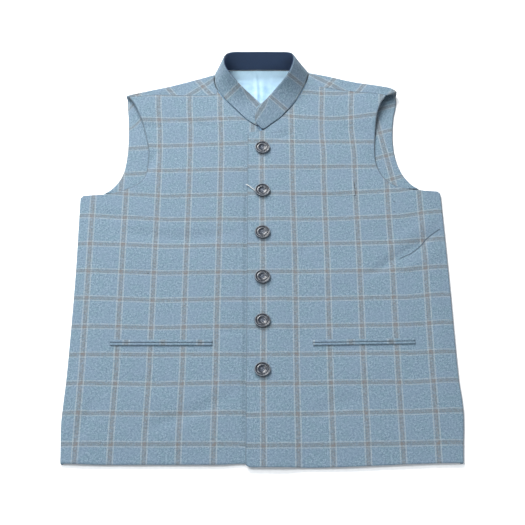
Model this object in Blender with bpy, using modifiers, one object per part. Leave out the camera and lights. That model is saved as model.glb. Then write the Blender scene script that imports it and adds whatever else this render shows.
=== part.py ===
"""A sleeveless stand-collar jacket, buttoned and laid flat on its back, in metres with +Z up."""

import math

import bmesh
import bpy
import numpy as np
from mathutils import Vector

# Plan sizes are in millimetres: x across the body (the wearer's left is +x), v up from the hem,
# z off the floor.
MM = 0.001
JACKET = "nehru_jacket"

# Cloth walls and the clearance kept at seams
WALL = 2.0
COLLAR_WALL = 1.5
LINING_WALL = 1.0
SEAM_GAP = 0.3
CURVE_GAP = 0.2
CURVE_STEPS = 6

# Sides and hem
HALF_WIDTH_RIGHT = [
    (277.0, -6.0), (278.5, 22.0), (280.8, 60.0), (280.0, 95.0), (278.4, 150.0), (278.0, 300.0),
    (280.5, 440.0),
]
HALF_WIDTH_LEFT = [
    (276.5, -6.0), (278.7, 22.0), (282.3, 65.0), (282.8, 95.0), (280.0, 145.0), (278.6, 300.0),
    (276.0, 449.0),
]
SIDE_CURL = 2.5
SIDE_SEAM_IN = 5.0
SIDE_TOP_RIGHT = 440.0
SIDE_TOP_LEFT = 449.0
BACK_HEM = 3.0

# Closure: the wearer's left front lies over the right one
OVERLAP = 21.5
OVER_TOP = 576.2
OVER_NECK_START = 577.3
UNDER_TOP = 574.0
HEM_DIP = -6.0
HEM_CORNER = 9.0
HEM_CORNER_RISE = 5.0
HEM_SIDE_LEFT = 1.3
HEM_BEND_REACH = 150.0

# Heights of the fronts' outer face
SIDE_HEIGHT = 2.0 * SIDE_CURL
CHEST_HEIGHT = 6.6
UNDER_HEIGHT = 5.8
OVER_HEIGHT = 8.3
HEM_DROP = 1.4
HEM_DROP_REACH = 45.0
SIDE_RISE_REACH = 22.0
CLOSURE_INNER = 24.0
CLOSURE_OUTER = 60.0
SHOULDER_REACH = 110.0

# Shoulders: height of the fold near the neck and at the tip
FOLD_NECK = 7.0
FOLD_TIP_RIGHT = 8.0
FOLD_TIP_LEFT = 9.0
NECK_HALF = 80.0
NECK_EDGE = 709.8
NECK_CORNER_DROP = 5.0
BACK_BEND_FROM = 500.0
FOLD_COLUMNS = 9

# Outlines as (x, v); the wearer's right is -x
BACK_ARMHOLE_RIGHT = [
    (-275.5, 447.0), (-272.0, 452.7), (-255.0, 453.5), (-245.8, 457.0), (-236.7, 462.8), (-226.7, 474.0),
    (-219.0, 487.0), (-213.9, 503.5), (-211.0, 527.4), (-210.4, 551.0), (-211.0, 581.0), (-212.5, 604.3),
    (-215.4, 627.8), (-217.0, 645.4),
]
BACK_ARMHOLE_LEFT = [
    (271.0, 456.0), (268.0, 463.0), (260.0, 463.3), (248.4, 464.5), (239.2, 467.6), (230.0, 474.7),
    (221.3, 486.4), (214.8, 499.8), (209.8, 517.8), (207.2, 537.0), (206.5, 560.0), (207.6, 583.4),
    (210.0, 606.6), (213.6, 630.3), (213.0, 655.5),
]
FRONT_ARMHOLE_RIGHT = [
    (-277.5, 440.0), (-274.5, 449.5), (-242.5, 453.5), (-219.8, 459.7), (-195.4, 472.1), (-186.0, 482.5),
    (-181.0, 497.0), (-179.0, 531.6), (-181.6, 551.5), (-190.4, 589.9), (-196.9, 608.6), (-207.0, 632.0),
    (-215.0, 643.0),
]
FRONT_ARMHOLE_LEFT = [
    (274.0, 449.0), (270.5, 458.0), (240.8, 460.7), (221.0, 465.1), (209.2, 468.6), (194.4, 478.3),
    (185.4, 491.6), (179.6, 507.9), (176.8, 526.0), (177.5, 556.3), (181.7, 600.1), (188.0, 624.5),
    (199.0, 643.0),
]
SHOULDER_FOLD_RIGHT = [(-217.0, 649.4), (-150.3, 671.9), (-101.3, 688.4), (-80.0, 696.0)]
SHOULDER_FOLD_LEFT = [(80.0, 697.5), (110.0, 689.0), (158.5, 675.5), (190.0, 667.0), (213.0, 660.0)]
SHOULDER_SEAM_RIGHT = [
    (-216.0, 643.3), (-197.7, 646.0), (-154.2, 650.7), (-117.0, 649.0), (-89.6, 650.5), (-77.5, 657.5),
]
SHOULDER_SEAM_LEFT = [(76.0, 672.5), (106.1, 665.7), (157.5, 653.6), (186.3, 646.9), (200.0, 643.3)]

# The collar's foot and its top edge, paired, from the over end round the neck to the under end
COLLAR_RULINGS = [
    ((-2.0, 577.5, 8.6), (-28.0, 604.5, 18.5)),
    ((14.0, 591.5, 8.7), (-12.0, 617.5, 18.5)),
    ((31.0, 606.0, 8.5), (2.0, 628.5, 19.0)),
    ((53.0, 637.5, 8.0), (22.0, 651.5, 22.5)),
    ((67.3, 667.5, 7.5), (40.5, 671.5, 30.5)),
    ((73.5, 688.0, 7.3), (48.5, 687.0, 35.0)),
    ((75.0, 697.5, 6.2), (52.0, 699.5, 36.8)),
    ((71.5, 704.5, 4.3), (50.5, 709.5, 38.0)),
    ((59.0, 708.0, 2.9), (42.0, 714.8, 38.8)),
    ((33.0, 709.2, 2.5), (23.0, 717.2, 39.4)),
    ((0.0, 709.5, 2.5), (0.0, 718.0, 39.7)),
    ((-33.0, 709.2, 2.5), (-24.0, 717.2, 39.8)),
    ((-59.0, 708.0, 2.9), (-46.0, 714.5, 40.0)),
    ((-72.0, 704.0, 4.3), (-57.5, 709.5, 39.8)),
    ((-77.5, 697.0, 6.0), (-62.0, 700.0, 39.3)),
    ((-78.2, 686.0, 7.0), (-60.5, 687.5, 38.0)),
    ((-75.5, 668.5, 7.2), (-52.5, 674.5, 34.5)),
    ((-62.0, 644.5, 7.0), (-34.0, 657.5, 24.0)),
    ((-41.0, 619.5, 6.8), (-13.0, 640.5, 13.5)),
    ((-24.0, 600.0, 6.7), (1.0, 626.5, 11.0)),
    ((-5.5, 586.0, 6.7), (17.0, 613.5, 9.5)),
]
COLLAR_CORNER = 35.0
COLLAR_TRIM = 2.0

# Lining: half width at each height, as far as the neck shows it, and the strips inside the armholes
LINING_HALF_WIDTHS = [
    (560.0, 48.0), (590.0, 54.0), (620.0, 64.0), (645.0, 72.0), (668.0, 73.0), (684.0, 70.0), (694.0, 67.0),
    (701.0, 60.0), (705.0, 52.0),
]
FACING_HIDDEN = 15.0
FACING_LEAST = 30.0
FACING_IN = 0.8

# Pockets
POCKET_INNER = 72.0
POCKET_OUTER = 220.0
POCKET_LINE = 189.0
POCKET_SLOPE_LEFT = 0.02
POCKET_SLOPE_RIGHT = 0.0
UPPER_WELT = 5.3
LOWER_WELT = 4.5
WELT_WALL = 1.2
BREAST_WELT = [(39.6, 445.8), (143.3, 450.4), (141.0, 479.2), (39.5, 473.3)]

# Buttons
BUTTON_LINE = [541.5, 458.5, 380.5, 300.5, 225.0, 144.0]
BUTTON_RADIUS = 11.8
BUTTON_HEIGHT = 4.0
BUTTON_SIDES = 24

CHECK_BLUE = (0.27, 0.40, 0.50, 1.0)
LINING_BLUE = (0.50, 0.74, 0.90, 1.0)
NAVY = (0.035, 0.058, 0.115, 1.0)
HORN = (0.030, 0.027, 0.027, 1.0)


def smooth(t):
    """Zero below 0, one above 1, eased between."""
    t = np.clip(t, 0.0, 1.0)
    return t * t * (3.0 - 2.0 * t)


def smooth_curve(points, steps):
    """Points along a Catmull-Rom curve through the given ones."""
    p = np.array(points, float)
    p = np.vstack([2.0 * p[0] - p[1], p, 2.0 * p[-1] - p[-2]])
    found = []
    for a, b, c, d in zip(p, p[1:], p[2:], p[3:]):
        for t in np.arange(steps) / steps:
            found.append(
                0.5 * (2.0 * b + (c - a) * t + (2.0 * a - 5.0 * b + 4.0 * c - d) * t**2)
                + 0.5 * (3.0 * b - a - 3.0 * c + d) * t**3
            )
    return np.array(found + [p[-2]])


def along(points, v):
    """x of an outline at height v; the outline rises from its first point to its last."""
    outline = smooth_curve(points, CURVE_STEPS)
    return np.interp(v, np.maximum.accumulate(outline[:, 1]), outline[:, 0])


def across(points, x):
    """v of an outline at x; the outline runs towards +x."""
    outline = smooth_curve(points, CURVE_STEPS)
    return np.interp(x, np.maximum.accumulate(outline[:, 0]), outline[:, 1])


def fold_height(x):
    """How high the shoulder fold stands, from the neck out to the tip."""
    out = (np.abs(x) - NECK_HALF) / (SHOULDER_FOLD_LEFT[-1][0] - NECK_HALF)
    tip = np.where(x < 0, FOLD_TIP_RIGHT, FOLD_TIP_LEFT)
    return FOLD_NECK + smooth(out) * (tip - FOLD_NECK)


def side_edge(v, left):
    """Half width of the jacket at height v, on the wearer's left or right."""
    return along(HALF_WIDTH_LEFT if left else HALF_WIDTH_RIGHT, v)


def front_height(x, v, left):
    """Height of a front's outer face above the floor."""
    inside = smooth((side_edge(v, left) - SIDE_CURL - np.abs(x)) / SIDE_RISE_REACH)
    closure = smooth((CLOSURE_OUTER - np.abs(x)) / (CLOSURE_OUTER - CLOSURE_INNER))
    if left:
        closure = np.where(x < 0, 1.0, closure)
        level = CHEST_HEIGHT + (OVER_HEIGHT - CHEST_HEIGHT) * closure
        seam = across(SHOULDER_SEAM_LEFT, x)
    else:
        closure = np.where(x > 0, 1.0, closure)
        level = CHEST_HEIGHT + (UNDER_HEIGHT - CHEST_HEIGHT) * closure
        seam = across(SHOULDER_SEAM_RIGHT, x)
    level = level - HEM_DROP * (1.0 - smooth(v / HEM_DROP_REACH))
    beside_closure = smooth((np.abs(x) - CLOSURE_INNER) / CLOSURE_OUTER)
    near_shoulder = smooth((v - seam + SHOULDER_REACH) / SHOULDER_REACH)
    level = level + near_shoulder * beside_closure * (fold_height(x) - level)
    return SIDE_HEIGHT + inside * (level - SIDE_HEIGHT)


def material(name, colour, roughness, metallic=0.0):
    """A plain surface of one colour."""
    made = bpy.data.materials.new(name)
    made.use_nodes = True
    shader = made.node_tree.nodes["Principled BSDF"]
    shader.inputs["Base Color"].default_value = colour
    shader.inputs["Roughness"].default_value = roughness
    shader.inputs["Metallic"].default_value = metallic
    return made


def sheet(name, patches, wall, colour, faces_down=False):
    """Grids of points joined where they meet, then thickened behind their outer face."""
    mesh = bpy.data.meshes.new(name)
    cage = bmesh.new()
    for points in patches:
        corners = [[cage.verts.new(Vector(p) * MM) for p in row] for row in points]
        for low, high in zip(corners, corners[1:]):
            for j in range(len(low) - 1):
                loop = [low[j], low[j + 1], high[j + 1], high[j]]
                cage.faces.new(loop[::-1] if faces_down else loop)
    bmesh.ops.remove_doubles(cage, verts=cage.verts, dist=1e-6)
    cage.to_mesh(mesh)
    cage.free()
    mesh.shade_smooth()
    made = bpy.data.objects.new(name, mesh)
    made.data.materials.append(colour)
    thick = made.modifiers.new("wall", "SOLIDIFY")
    thick.thickness = wall * MM
    thick.offset = -1.0
    return made


def loft(left_edge, right_edge, columns, hem=None, top=None, bend_from=0.0):
    """Rows of (x, v) between two matching edges, bent to a hem curve below and a seam curve above."""
    left_edge, right_edge = np.array(left_edge), np.array(right_edge)
    rows = left_edge[:, None, :] + columns[None, :, None] * (right_edge - left_edge)[:, None, :]
    if hem is not None:
        bend = hem(rows[0, :, 0]) - rows[0, :, 1]
        fade = 1.0 - smooth((rows[:, :, 1] - rows[0, :, 1]) / HEM_BEND_REACH)
        rows[:, :, 1] += bend * fade
    if top is not None:
        bend = top(rows[-1, :, 0]) - rows[-1, :, 1]
        fade = np.clip((rows[:, :, 1] - bend_from) / (rows[-1, :, 1] - bend_from), 0.0, 1.0)
        rows[:, :, 1] += bend * fade
    return rows


def raised(rows, height):
    """(x, v, z) points from rows of (x, v) and a height for each."""
    return np.dstack([rows[:, :, 0], rows[:, :, 1], np.broadcast_to(height, rows.shape[:2])])


def heights_between(marks, step):
    """Rising heights through every mark, no further apart than the step."""
    found = []
    for low, high in zip(marks, marks[1:]):
        count = max(1, math.ceil((high - low) / step))
        found += [low + (high - low) * k / count for k in range(count)]
    return np.array(found + [marks[-1]])


def fractions(places):
    """Column positions as fractions of the way across."""
    places = np.array(places)
    return (places - places[0]) / (places[-1] - places[0])


def shoulder_wrap(main, columns, fold, seam):
    """The strip that goes on from the back's top row, round the shoulder fold and forward to the seam."""
    strip = []
    last = main[-1][columns]
    radius = fold_height(last[:, 0]) / 2.0
    crest = fold(last[:, 0]) - radius
    for angle in np.radians(np.linspace(-90.0, 90.0, 9)):
        out, up = radius * np.cos(angle), radius * np.sin(angle)
        strip.append(np.column_stack([last[:, 0], crest + out, radius + up]))
    seam_x, seam_v = seam(last[:, 0])
    for share in np.linspace(0.0, 1.0, 4)[1:]:
        x = last[:, 0] + share * (seam_x - last[:, 0])
        v = crest + share * (seam_v - crest)
        strip.append(np.column_stack([x, v, 2.0 * radius]))
    strip[0] = last
    return np.array(strip)


def back_panel(cloth):
    """The back, flat on the floor, its shoulders carried over to the front."""
    top_left = SHOULDER_FOLD_LEFT[-1]
    top_right = SHOULDER_FOLD_RIGHT[0]
    base_right, base_left = BACK_ARMHOLE_RIGHT[0][1], BACK_ARMHOLE_LEFT[0][1]
    low = heights_between([BACK_HEM, 60.0, 430.0, base_right], 46.0)
    armhole = np.array([0.0, 0.03, 0.05, 0.08, 0.13, 0.2, 0.28, 0.37, 0.5, 0.63, 0.76, 0.88, 1.0])
    right_v = np.concatenate([low, base_right + armhole[1:] * (BACK_ARMHOLE_RIGHT[-1][1] - base_right)])
    left_v = np.concatenate([low[:-1], base_left + armhole * (BACK_ARMHOLE_LEFT[-1][1] - base_left)])
    body = len(low)
    right_x = along(BACK_ARMHOLE_RIGHT, right_v)
    left_x = along(BACK_ARMHOLE_LEFT, left_v)
    right_x[:body] = -(side_edge(right_v[:body], False) - SIDE_SEAM_IN)
    left_x[:body] = side_edge(left_v[:body], True) - SIDE_SEAM_IN
    shoulder_right = np.linspace(top_right[0], -NECK_HALF, FOLD_COLUMNS)
    shoulder_left = np.linspace(NECK_HALF, top_left[0], FOLD_COLUMNS)
    neck = np.array([-77.0, -68.0, -50.0, -25.0, 0.0, 25.0, 50.0, 68.0, 77.0])
    places = np.concatenate([shoulder_right, neck, shoulder_left])

    def top(x):
        right = across(SHOULDER_FOLD_RIGHT, x) - fold_height(x) / 2.0
        left = across(SHOULDER_FOLD_LEFT, x) - fold_height(x) / 2.0
        edge = NECK_EDGE - NECK_CORNER_DROP * smooth((np.abs(x) - neck[-3]) / (neck[-1] - neck[-3]))
        return np.where(x <= -NECK_HALF + 0.01, right, np.where(x >= NECK_HALF - 0.01, left, edge))

    rows = loft(
        np.column_stack([right_x, right_v]),
        np.column_stack([left_x, left_v]),
        fractions(places),
        top=top,
        bend_from=BACK_BEND_FROM,
    )
    main = raised(rows, 0.0)
    first_left = len(places) - FOLD_COLUMNS

    def seam_right(x):
        share = (x + NECK_HALF) / (top_right[0] + NECK_HALF)
        seam_neck, seam_tip = SHOULDER_SEAM_RIGHT[-1][0], SHOULDER_SEAM_RIGHT[0][0]
        seam_x = seam_neck + share * (seam_tip - seam_neck)
        return seam_x, across(SHOULDER_SEAM_RIGHT, seam_x)

    def seam_left(x):
        share = (x - NECK_HALF) / (top_left[0] - NECK_HALF)
        seam_neck, seam_tip = SHOULDER_SEAM_LEFT[0][0], SHOULDER_SEAM_LEFT[-1][0]
        seam_x = seam_neck + share * (seam_tip - seam_neck)
        return seam_x, across(SHOULDER_SEAM_LEFT, seam_x)

    right, left = slice(0, FOLD_COLUMNS), slice(first_left, None)
    wrap_right = shoulder_wrap(main, right, lambda x: across(SHOULDER_FOLD_RIGHT, x), seam_right)
    wrap_left = shoulder_wrap(main, left, lambda x: across(SHOULDER_FOLD_LEFT, x), seam_left)
    return sheet("back", [main, wrap_right, wrap_left], WALL, cloth, faces_down=True)


def side_curl(edge_column, left):
    """The front's cloth going round the side fold to its seam on the underside."""
    sign = 1.0 if left else -1.0
    strip = []
    for x, v, z in edge_column:
        centre = abs(x)
        points = []
        for angle in np.radians(np.linspace(90.0, -90.0, 8)):
            out, up = SIDE_CURL * np.cos(angle), SIDE_CURL * np.sin(angle)
            points.append((sign * (centre + out), v, SIDE_CURL + up))
        points.append((sign * (centre + SIDE_CURL - SIDE_SEAM_IN + SEAM_GAP), v, 0.0))
        points[0] = (x, v, z)
        strip.append(points if left else points[::-1])
    return np.array(strip)


def front_right_panel(cloth):
    """The wearer's right front, which runs under the other one at the closure."""
    low = heights_between([0.0, 20.0, 60.0, SIDE_TOP_RIGHT], 42.0)
    neck_top = SHOULDER_SEAM_RIGHT[-1][1] - SEAM_GAP
    armhole = np.array([0.0, 0.045, 0.065, 0.095, 0.155, 0.21, 0.28, 0.37, 0.46, 0.55])
    shoulder = np.array([0.6204, 0.625, 0.67, 0.72, 0.78, 0.84, 0.9, 0.95, 1.0])
    share = np.concatenate([armhole, shoulder])
    side_rise = FRONT_ARMHOLE_RIGHT[-1][1] - SIDE_TOP_RIGHT
    side_v = np.concatenate([low[:-1], SIDE_TOP_RIGHT + share * side_rise])
    inner_v = np.concatenate([low[:-1], SIDE_TOP_RIGHT + share * (neck_top - SIDE_TOP_RIGHT)])
    side_x = along(FRONT_ARMHOLE_RIGHT, side_v)
    body = len(low)
    side_x[:body] = -(side_edge(side_v[:body], False) - SIDE_CURL)
    inner_x = np.interp(inner_v, *under_neck_edge())
    places = [-279.5, -272.0, -262.0, *range(-250, -60, 21), -60.0, -48.0, -36.0, -24.0, -10.0, 5.0, OVERLAP]

    def seam(x):
        return across(SHOULDER_SEAM_RIGHT, x) - SEAM_GAP - CURVE_GAP

    rows = loft(
        np.column_stack([side_x, side_v]),
        np.column_stack([inner_x, inner_v]),
        fractions(places),
        top=seam,
        bend_from=SIDE_TOP_RIGHT,
    )
    main = raised(rows, front_height(rows[:, :, 0], rows[:, :, 1], False))
    curl = side_curl(main[:body, 0], False)
    return sheet("front_right", [main, curl], WALL, cloth)


def collar_foot_outside(side):
    """The fronts' neck edge: the collar's foot moved out by the seam's gap, as (x, v) rising."""
    feet = np.array([foot[:2] for foot, _ in COLLAR_RULINGS])
    feet = feet[: len(feet) // 2] if side > 0 else feet[::-1][: len(feet) // 2]
    feet = feet[feet[:, 1] < 690.0]
    fine = smooth_curve(feet, 6)
    way = np.gradient(fine, axis=0)
    way /= np.linalg.norm(way, axis=1)[:, None]
    outward = np.column_stack([way[:, 1], -way[:, 0]]) * side
    return fine + outward * (SEAM_GAP + CURVE_GAP)


def under_neck_edge():
    """Heights and x of the right front's inner edge, from the closure up the neck."""
    neck = collar_foot_outside(-1)
    v = np.concatenate([[0.0, UNDER_TOP, UNDER_TOP + 1.0], neck[:, 1]])
    x = np.concatenate([[OVERLAP, OVERLAP, -3.0], neck[:, 0]])
    return v, x


def over_neck_edge():
    """Heights and x of the left front's inner edge, from the closure up the neck."""
    neck = collar_foot_outside(1)
    v = np.concatenate([[HEM_DIP, OVER_TOP], neck[:, 1] - CURVE_GAP])
    x = np.concatenate([[-OVERLAP, -OVERLAP], neck[:, 0]])
    return v, x


def front_left_panel(cloth):
    """The wearer's left front, which lies over the other one and carries the buttons."""
    hem_inner = HEM_DIP + HEM_CORNER_RISE
    low_side = heights_between([HEM_SIDE_LEFT, 20.0, 60.0, SIDE_TOP_LEFT], 42.0)
    low_inner = heights_between([hem_inner, 20.0, 60.0, SIDE_TOP_LEFT], 42.0)
    neck_top = SHOULDER_SEAM_LEFT[0][1] - SEAM_GAP
    turn = (OVER_TOP - SIDE_TOP_LEFT) / (neck_top - SIDE_TOP_LEFT)
    step = (OVER_NECK_START - SIDE_TOP_LEFT) / (neck_top - SIDE_TOP_LEFT)
    armhole = np.array([0.0, 0.045, 0.062, 0.09, 0.145, 0.2, 0.28, 0.36, 0.46])
    shoulder = np.array([turn, step, 0.61, 0.66, 0.72, 0.78, 0.84, 0.9, 0.95, 1.0])
    share = np.concatenate([armhole, shoulder])
    side_rise = FRONT_ARMHOLE_LEFT[-1][1] - SIDE_TOP_LEFT
    side_v = np.concatenate([low_side[:-1], SIDE_TOP_LEFT + share * side_rise])
    inner_v = np.concatenate([low_inner[:-1], SIDE_TOP_LEFT + share * (neck_top - SIDE_TOP_LEFT)])
    side_x = along(FRONT_ARMHOLE_LEFT, side_v)
    body = len(low_side)
    side_x[:body] = side_edge(side_v[:body], True) - SIDE_CURL
    inner_x = np.interp(inner_v, *over_neck_edge())
    places = [-OVERLAP, -19.0, -15.0, -10.0, *range(0, 60, 12), *range(60, 260, 21), 262.0, 272.0, 279.5]

    def hem(x):
        corner = np.clip((x + OVERLAP) / HEM_CORNER, 0.0, 1.0)
        out = (x - CLOSURE_OUTER) / (HALF_WIDTH_LEFT[0][0] - CLOSURE_OUTER)
        dip = HEM_DIP + (HEM_SIDE_LEFT - HEM_DIP) * smooth(out)
        return dip + HEM_CORNER_RISE * (1.0 - np.sqrt(1.0 - (1.0 - corner) ** 2))

    def seam(x):
        return across(SHOULDER_SEAM_LEFT, x) - SEAM_GAP - CURVE_GAP

    rows = loft(
        np.column_stack([inner_x, inner_v]),
        np.column_stack([side_x, side_v]),
        fractions(places),
        hem=hem,
        top=seam,
        bend_from=SIDE_TOP_LEFT,
    )
    main = raised(rows, front_height(rows[:, :, 0], rows[:, :, 1], True))
    curl = side_curl(main[:body, -1], True)
    return sheet("front_left", [main, curl], WALL, cloth)


def collar_rows(inset):
    """Rows up the collar, each round the neck from end to end, moved inward by the inset."""
    feet = smooth_curve([foot for foot, _ in COLLAR_RULINGS], 4)
    tops = smooth_curve([top for _, top in COLLAR_RULINGS], 4)
    length = np.concatenate([[0.0], np.cumsum(np.linalg.norm(np.diff(feet, axis=0), axis=1))])
    from_end = np.minimum(length, length[-1] - length)
    keep = from_end >= COLLAR_TRIM
    feet, tops, from_end = feet[keep], tops[keep], from_end[keep]
    corner = np.clip(from_end / COLLAR_CORNER, 0.0, 1.0)
    reach = np.sqrt(1.0 - (1.0 - corner) ** 2)
    rise = (tops - feet) * reach[:, None]
    rows = np.array([feet + share * rise for share in np.linspace(0.0, 1.0, 6)])
    inward = np.cross(np.gradient(rows, axis=1), np.gradient(rows, axis=0))
    inward /= np.linalg.norm(inward, axis=2)[:, :, None]
    if inward[0, len(feet) // 2, 1] > 0:
        inward = -inward
    return rows + inset * inward


def collar_and_facing(cloth, navy):
    """The stand collar and the facing inside it."""
    outer = sheet("collar", [collar_rows(0.0)], COLLAR_WALL, cloth)
    inner = sheet("collar_facing", [collar_rows(COLLAR_WALL + SEAM_GAP)], LINING_WALL, navy)
    return [outer, inner]


def layer(name, outline, colour, columns=9):
    """A thin sheet lying on the back panel, from rows of (v, first x, last x)."""
    rows = []
    for v, first, last in outline:
        rows.append([(first + (last - first) * k / (columns - 1), v) for k in range(columns)])
    top = WALL + SEAM_GAP + LINING_WALL
    return sheet(name, [raised(np.array(rows), top)], LINING_WALL, colour)


def back_lining(satin):
    """The lining of the back, as far as the neck shows it."""
    return layer("back_lining", [(v, -w, w) for v, w in LINING_HALF_WIDTHS], satin, 13)


def armhole_facings(cloth):
    """Strips of the check cloth inside the back armholes."""
    made = []
    for name, back, front, base, top in (
        ("armhole_facing_right", BACK_ARMHOLE_RIGHT, FRONT_ARMHOLE_RIGHT, 457.0, 640.0),
        ("armhole_facing_left", BACK_ARMHOLE_LEFT, FRONT_ARMHOLE_LEFT, 466.0, 642.0),
    ):
        rows = []
        for v in heights_between([base, 480.0, 510.0, top], 16.0):
            edge = along(back, v)
            inner = along(front, v)
            sign = math.copysign(1.0, edge)
            inner = sign * min(abs(inner) - FACING_HIDDEN, abs(edge) - FACING_LEAST)
            ends = sorted([edge - sign * FACING_IN, inner])
            rows.append((v, ends[0], ends[1]))
        made.append(layer(name, rows, cloth, 5))
    return made


def strip_on_front(name, corners, left, wall, colour, columns=13):
    """A flat piece sewn on a front, made from the front's own height moved out."""
    a, b, c, d = [np.array(p) for p in corners]
    t = np.linspace(0.0, 1.0, columns)[:, None]
    low, high = a + t * (b - a), d + t * (c - d)
    rows = np.array([low + s * (high - low) for s in np.linspace(0.0, 1.0, 3)])
    height = front_height(rows[:, :, 0], rows[:, :, 1], left) + SEAM_GAP + wall
    return sheet(name, [raised(rows, height)], wall, colour)


def pocket_welts(cloth):
    """Two narrow welts at each hip pocket and the deeper welt on the chest."""
    made = []
    for word, sign, slope in (("left", 1.0, POCKET_SLOPE_LEFT), ("right", -1.0, POCKET_SLOPE_RIGHT)):
        rise = slope * (POCKET_OUTER - POCKET_INNER)
        inner, outer = sign * POCKET_INNER, sign * POCKET_OUTER
        half_gap = SEAM_GAP / 2.0
        for level, low, high in (("upper", half_gap, UPPER_WELT), ("lower", -LOWER_WELT, -half_gap)):
            ends = [(inner, POCKET_LINE + low), (outer, POCKET_LINE + low + rise)]
            ends += [(outer, POCKET_LINE + high + rise), (inner, POCKET_LINE + high)]
            if sign < 0:
                ends = [ends[1], ends[0], ends[3], ends[2]]
            made.append(strip_on_front(f"pocket_welt_{level}_{word}", ends, sign > 0, WELT_WALL, cloth))
    made.append(strip_on_front("breast_welt", BREAST_WELT, True, WELT_WALL, cloth))
    return made


def buttons(horn):
    """Turned buttons with a raised rim and a dished middle."""
    radius, height = BUTTON_RADIUS, BUTTON_HEIGHT
    profile = [
        (0.0, height - 1.5), (0.32 * radius, height - 1.4), (0.52 * radius, height - 0.9),
        (0.62 * radius, height - 0.5), (0.72 * radius, height - 0.75), (0.82 * radius, height - 0.1),
        (0.90 * radius, height), (0.97 * radius, height - 0.5), (radius, height - 1.3),
        (0.97 * radius, height - 2.3), (0.84 * radius, 0.5), (0.62 * radius, 0.0), (0.0, 0.0),
    ]
    made = []
    for index, v in enumerate(BUTTON_LINE):
        mesh = bpy.data.meshes.new(f"button_{index + 1}")
        cage = bmesh.new()
        corners = [cage.verts.new((x * MM, 0.0, z * MM)) for x, z in profile]
        for a, b in zip(corners, corners[1:]):
            cage.edges.new((a, b))
        cage.to_mesh(mesh)
        cage.free()
        made.append(bpy.data.objects.new(f"button_{index + 1}", mesh))
        mesh.materials.append(horn)
        turned = made[-1].modifiers.new("turned", "SCREW")
        turned.angle = 2.0 * math.pi
        turned.steps = BUTTON_SIDES
        turned.render_steps = BUTTON_SIDES
        turned.use_merge_vertices = True
        turned.merge_threshold = 0.0001
        seat = float(front_height(np.array(0.0), np.array(v), True)) + SEAM_GAP
        made[-1].location = Vector((0.0, v, seat)) * MM
    return made


def centre_on_floor(objects, jacket):
    """Moves the parent empty so that the origin is under the middle of the whole jacket."""
    bpy.context.view_layer.update()
    graph = bpy.context.evaluated_depsgraph_get()
    points = []
    for made in objects:
        evaluated = made.evaluated_get(graph)
        points += [made.matrix_world @ corner.co for corner in evaluated.data.vertices]
    points = np.array(points)
    low, high = points.min(axis=0), points.max(axis=0)
    jacket.location = (-(low[0] + high[0]) / 2.0, -(low[1] + high[1]) / 2.0, -low[2])
    bpy.context.view_layer.update()


def main():
    for old in list(bpy.data.objects):
        bpy.data.objects.remove(old)
    cloth = material("check_cloth", CHECK_BLUE, 0.9)
    satin = material("satin_lining", LINING_BLUE, 0.45)
    navy = material("navy_facing", NAVY, 0.9)
    horn = material("horn", HORN, 0.25)
    objects = [back_panel(cloth), front_right_panel(cloth), front_left_panel(cloth), back_lining(satin)]
    objects += collar_and_facing(cloth, navy)
    objects += armhole_facings(cloth)
    objects += pocket_welts(cloth)
    objects += buttons(horn)
    collection = bpy.data.collections.new(JACKET)
    bpy.context.scene.collection.children.link(collection)
    jacket = bpy.data.objects.new("jacket_origin", None)
    collection.objects.link(jacket)
    for made in objects:
        collection.objects.link(made)
        made.parent = jacket
    centre_on_floor(objects, jacket)


main()
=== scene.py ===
import math

import bmesh
import bpy
import numpy as np
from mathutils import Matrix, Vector


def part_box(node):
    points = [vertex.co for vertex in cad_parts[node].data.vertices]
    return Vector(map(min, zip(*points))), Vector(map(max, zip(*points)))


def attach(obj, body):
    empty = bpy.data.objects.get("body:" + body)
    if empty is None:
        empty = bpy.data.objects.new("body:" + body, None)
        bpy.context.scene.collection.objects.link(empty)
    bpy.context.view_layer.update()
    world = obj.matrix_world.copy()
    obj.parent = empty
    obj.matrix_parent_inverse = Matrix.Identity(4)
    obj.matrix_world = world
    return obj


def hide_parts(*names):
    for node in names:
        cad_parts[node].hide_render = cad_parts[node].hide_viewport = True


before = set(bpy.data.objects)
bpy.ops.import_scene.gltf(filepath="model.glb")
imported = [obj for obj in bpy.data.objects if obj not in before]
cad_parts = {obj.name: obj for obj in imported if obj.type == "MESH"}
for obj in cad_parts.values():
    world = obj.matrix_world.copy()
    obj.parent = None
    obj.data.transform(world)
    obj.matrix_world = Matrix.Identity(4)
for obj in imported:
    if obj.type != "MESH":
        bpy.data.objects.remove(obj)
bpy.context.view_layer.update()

# Plan sizes are in millimetres: x across the body (the wearer's left is +x), v up from the hem,
# z off the floor. They follow the source's outlines on finer grids, moved by up to about 3 mm to the
# photo. Pairs give the wearer's right first and then the left.
MM = 0.001
SIGN = (-1.0, 1.0)
WALL = 2.0
COLLAR_WALL = 1.5
LINING_WALL = 1.0
SEAM_GAP = 0.3
CURVE_GAP = 0.2
CURVE_STEPS = 6
FAR = 50.0
FRONT_STEP = 5.0
CORNER_STEPS = [0.0, 1.2, 2.4, 3.6, 4.8, 6.0, 7.5, 9.5]
CORNER_REACH = 12.5
BACK_STEP = 7.0

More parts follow.
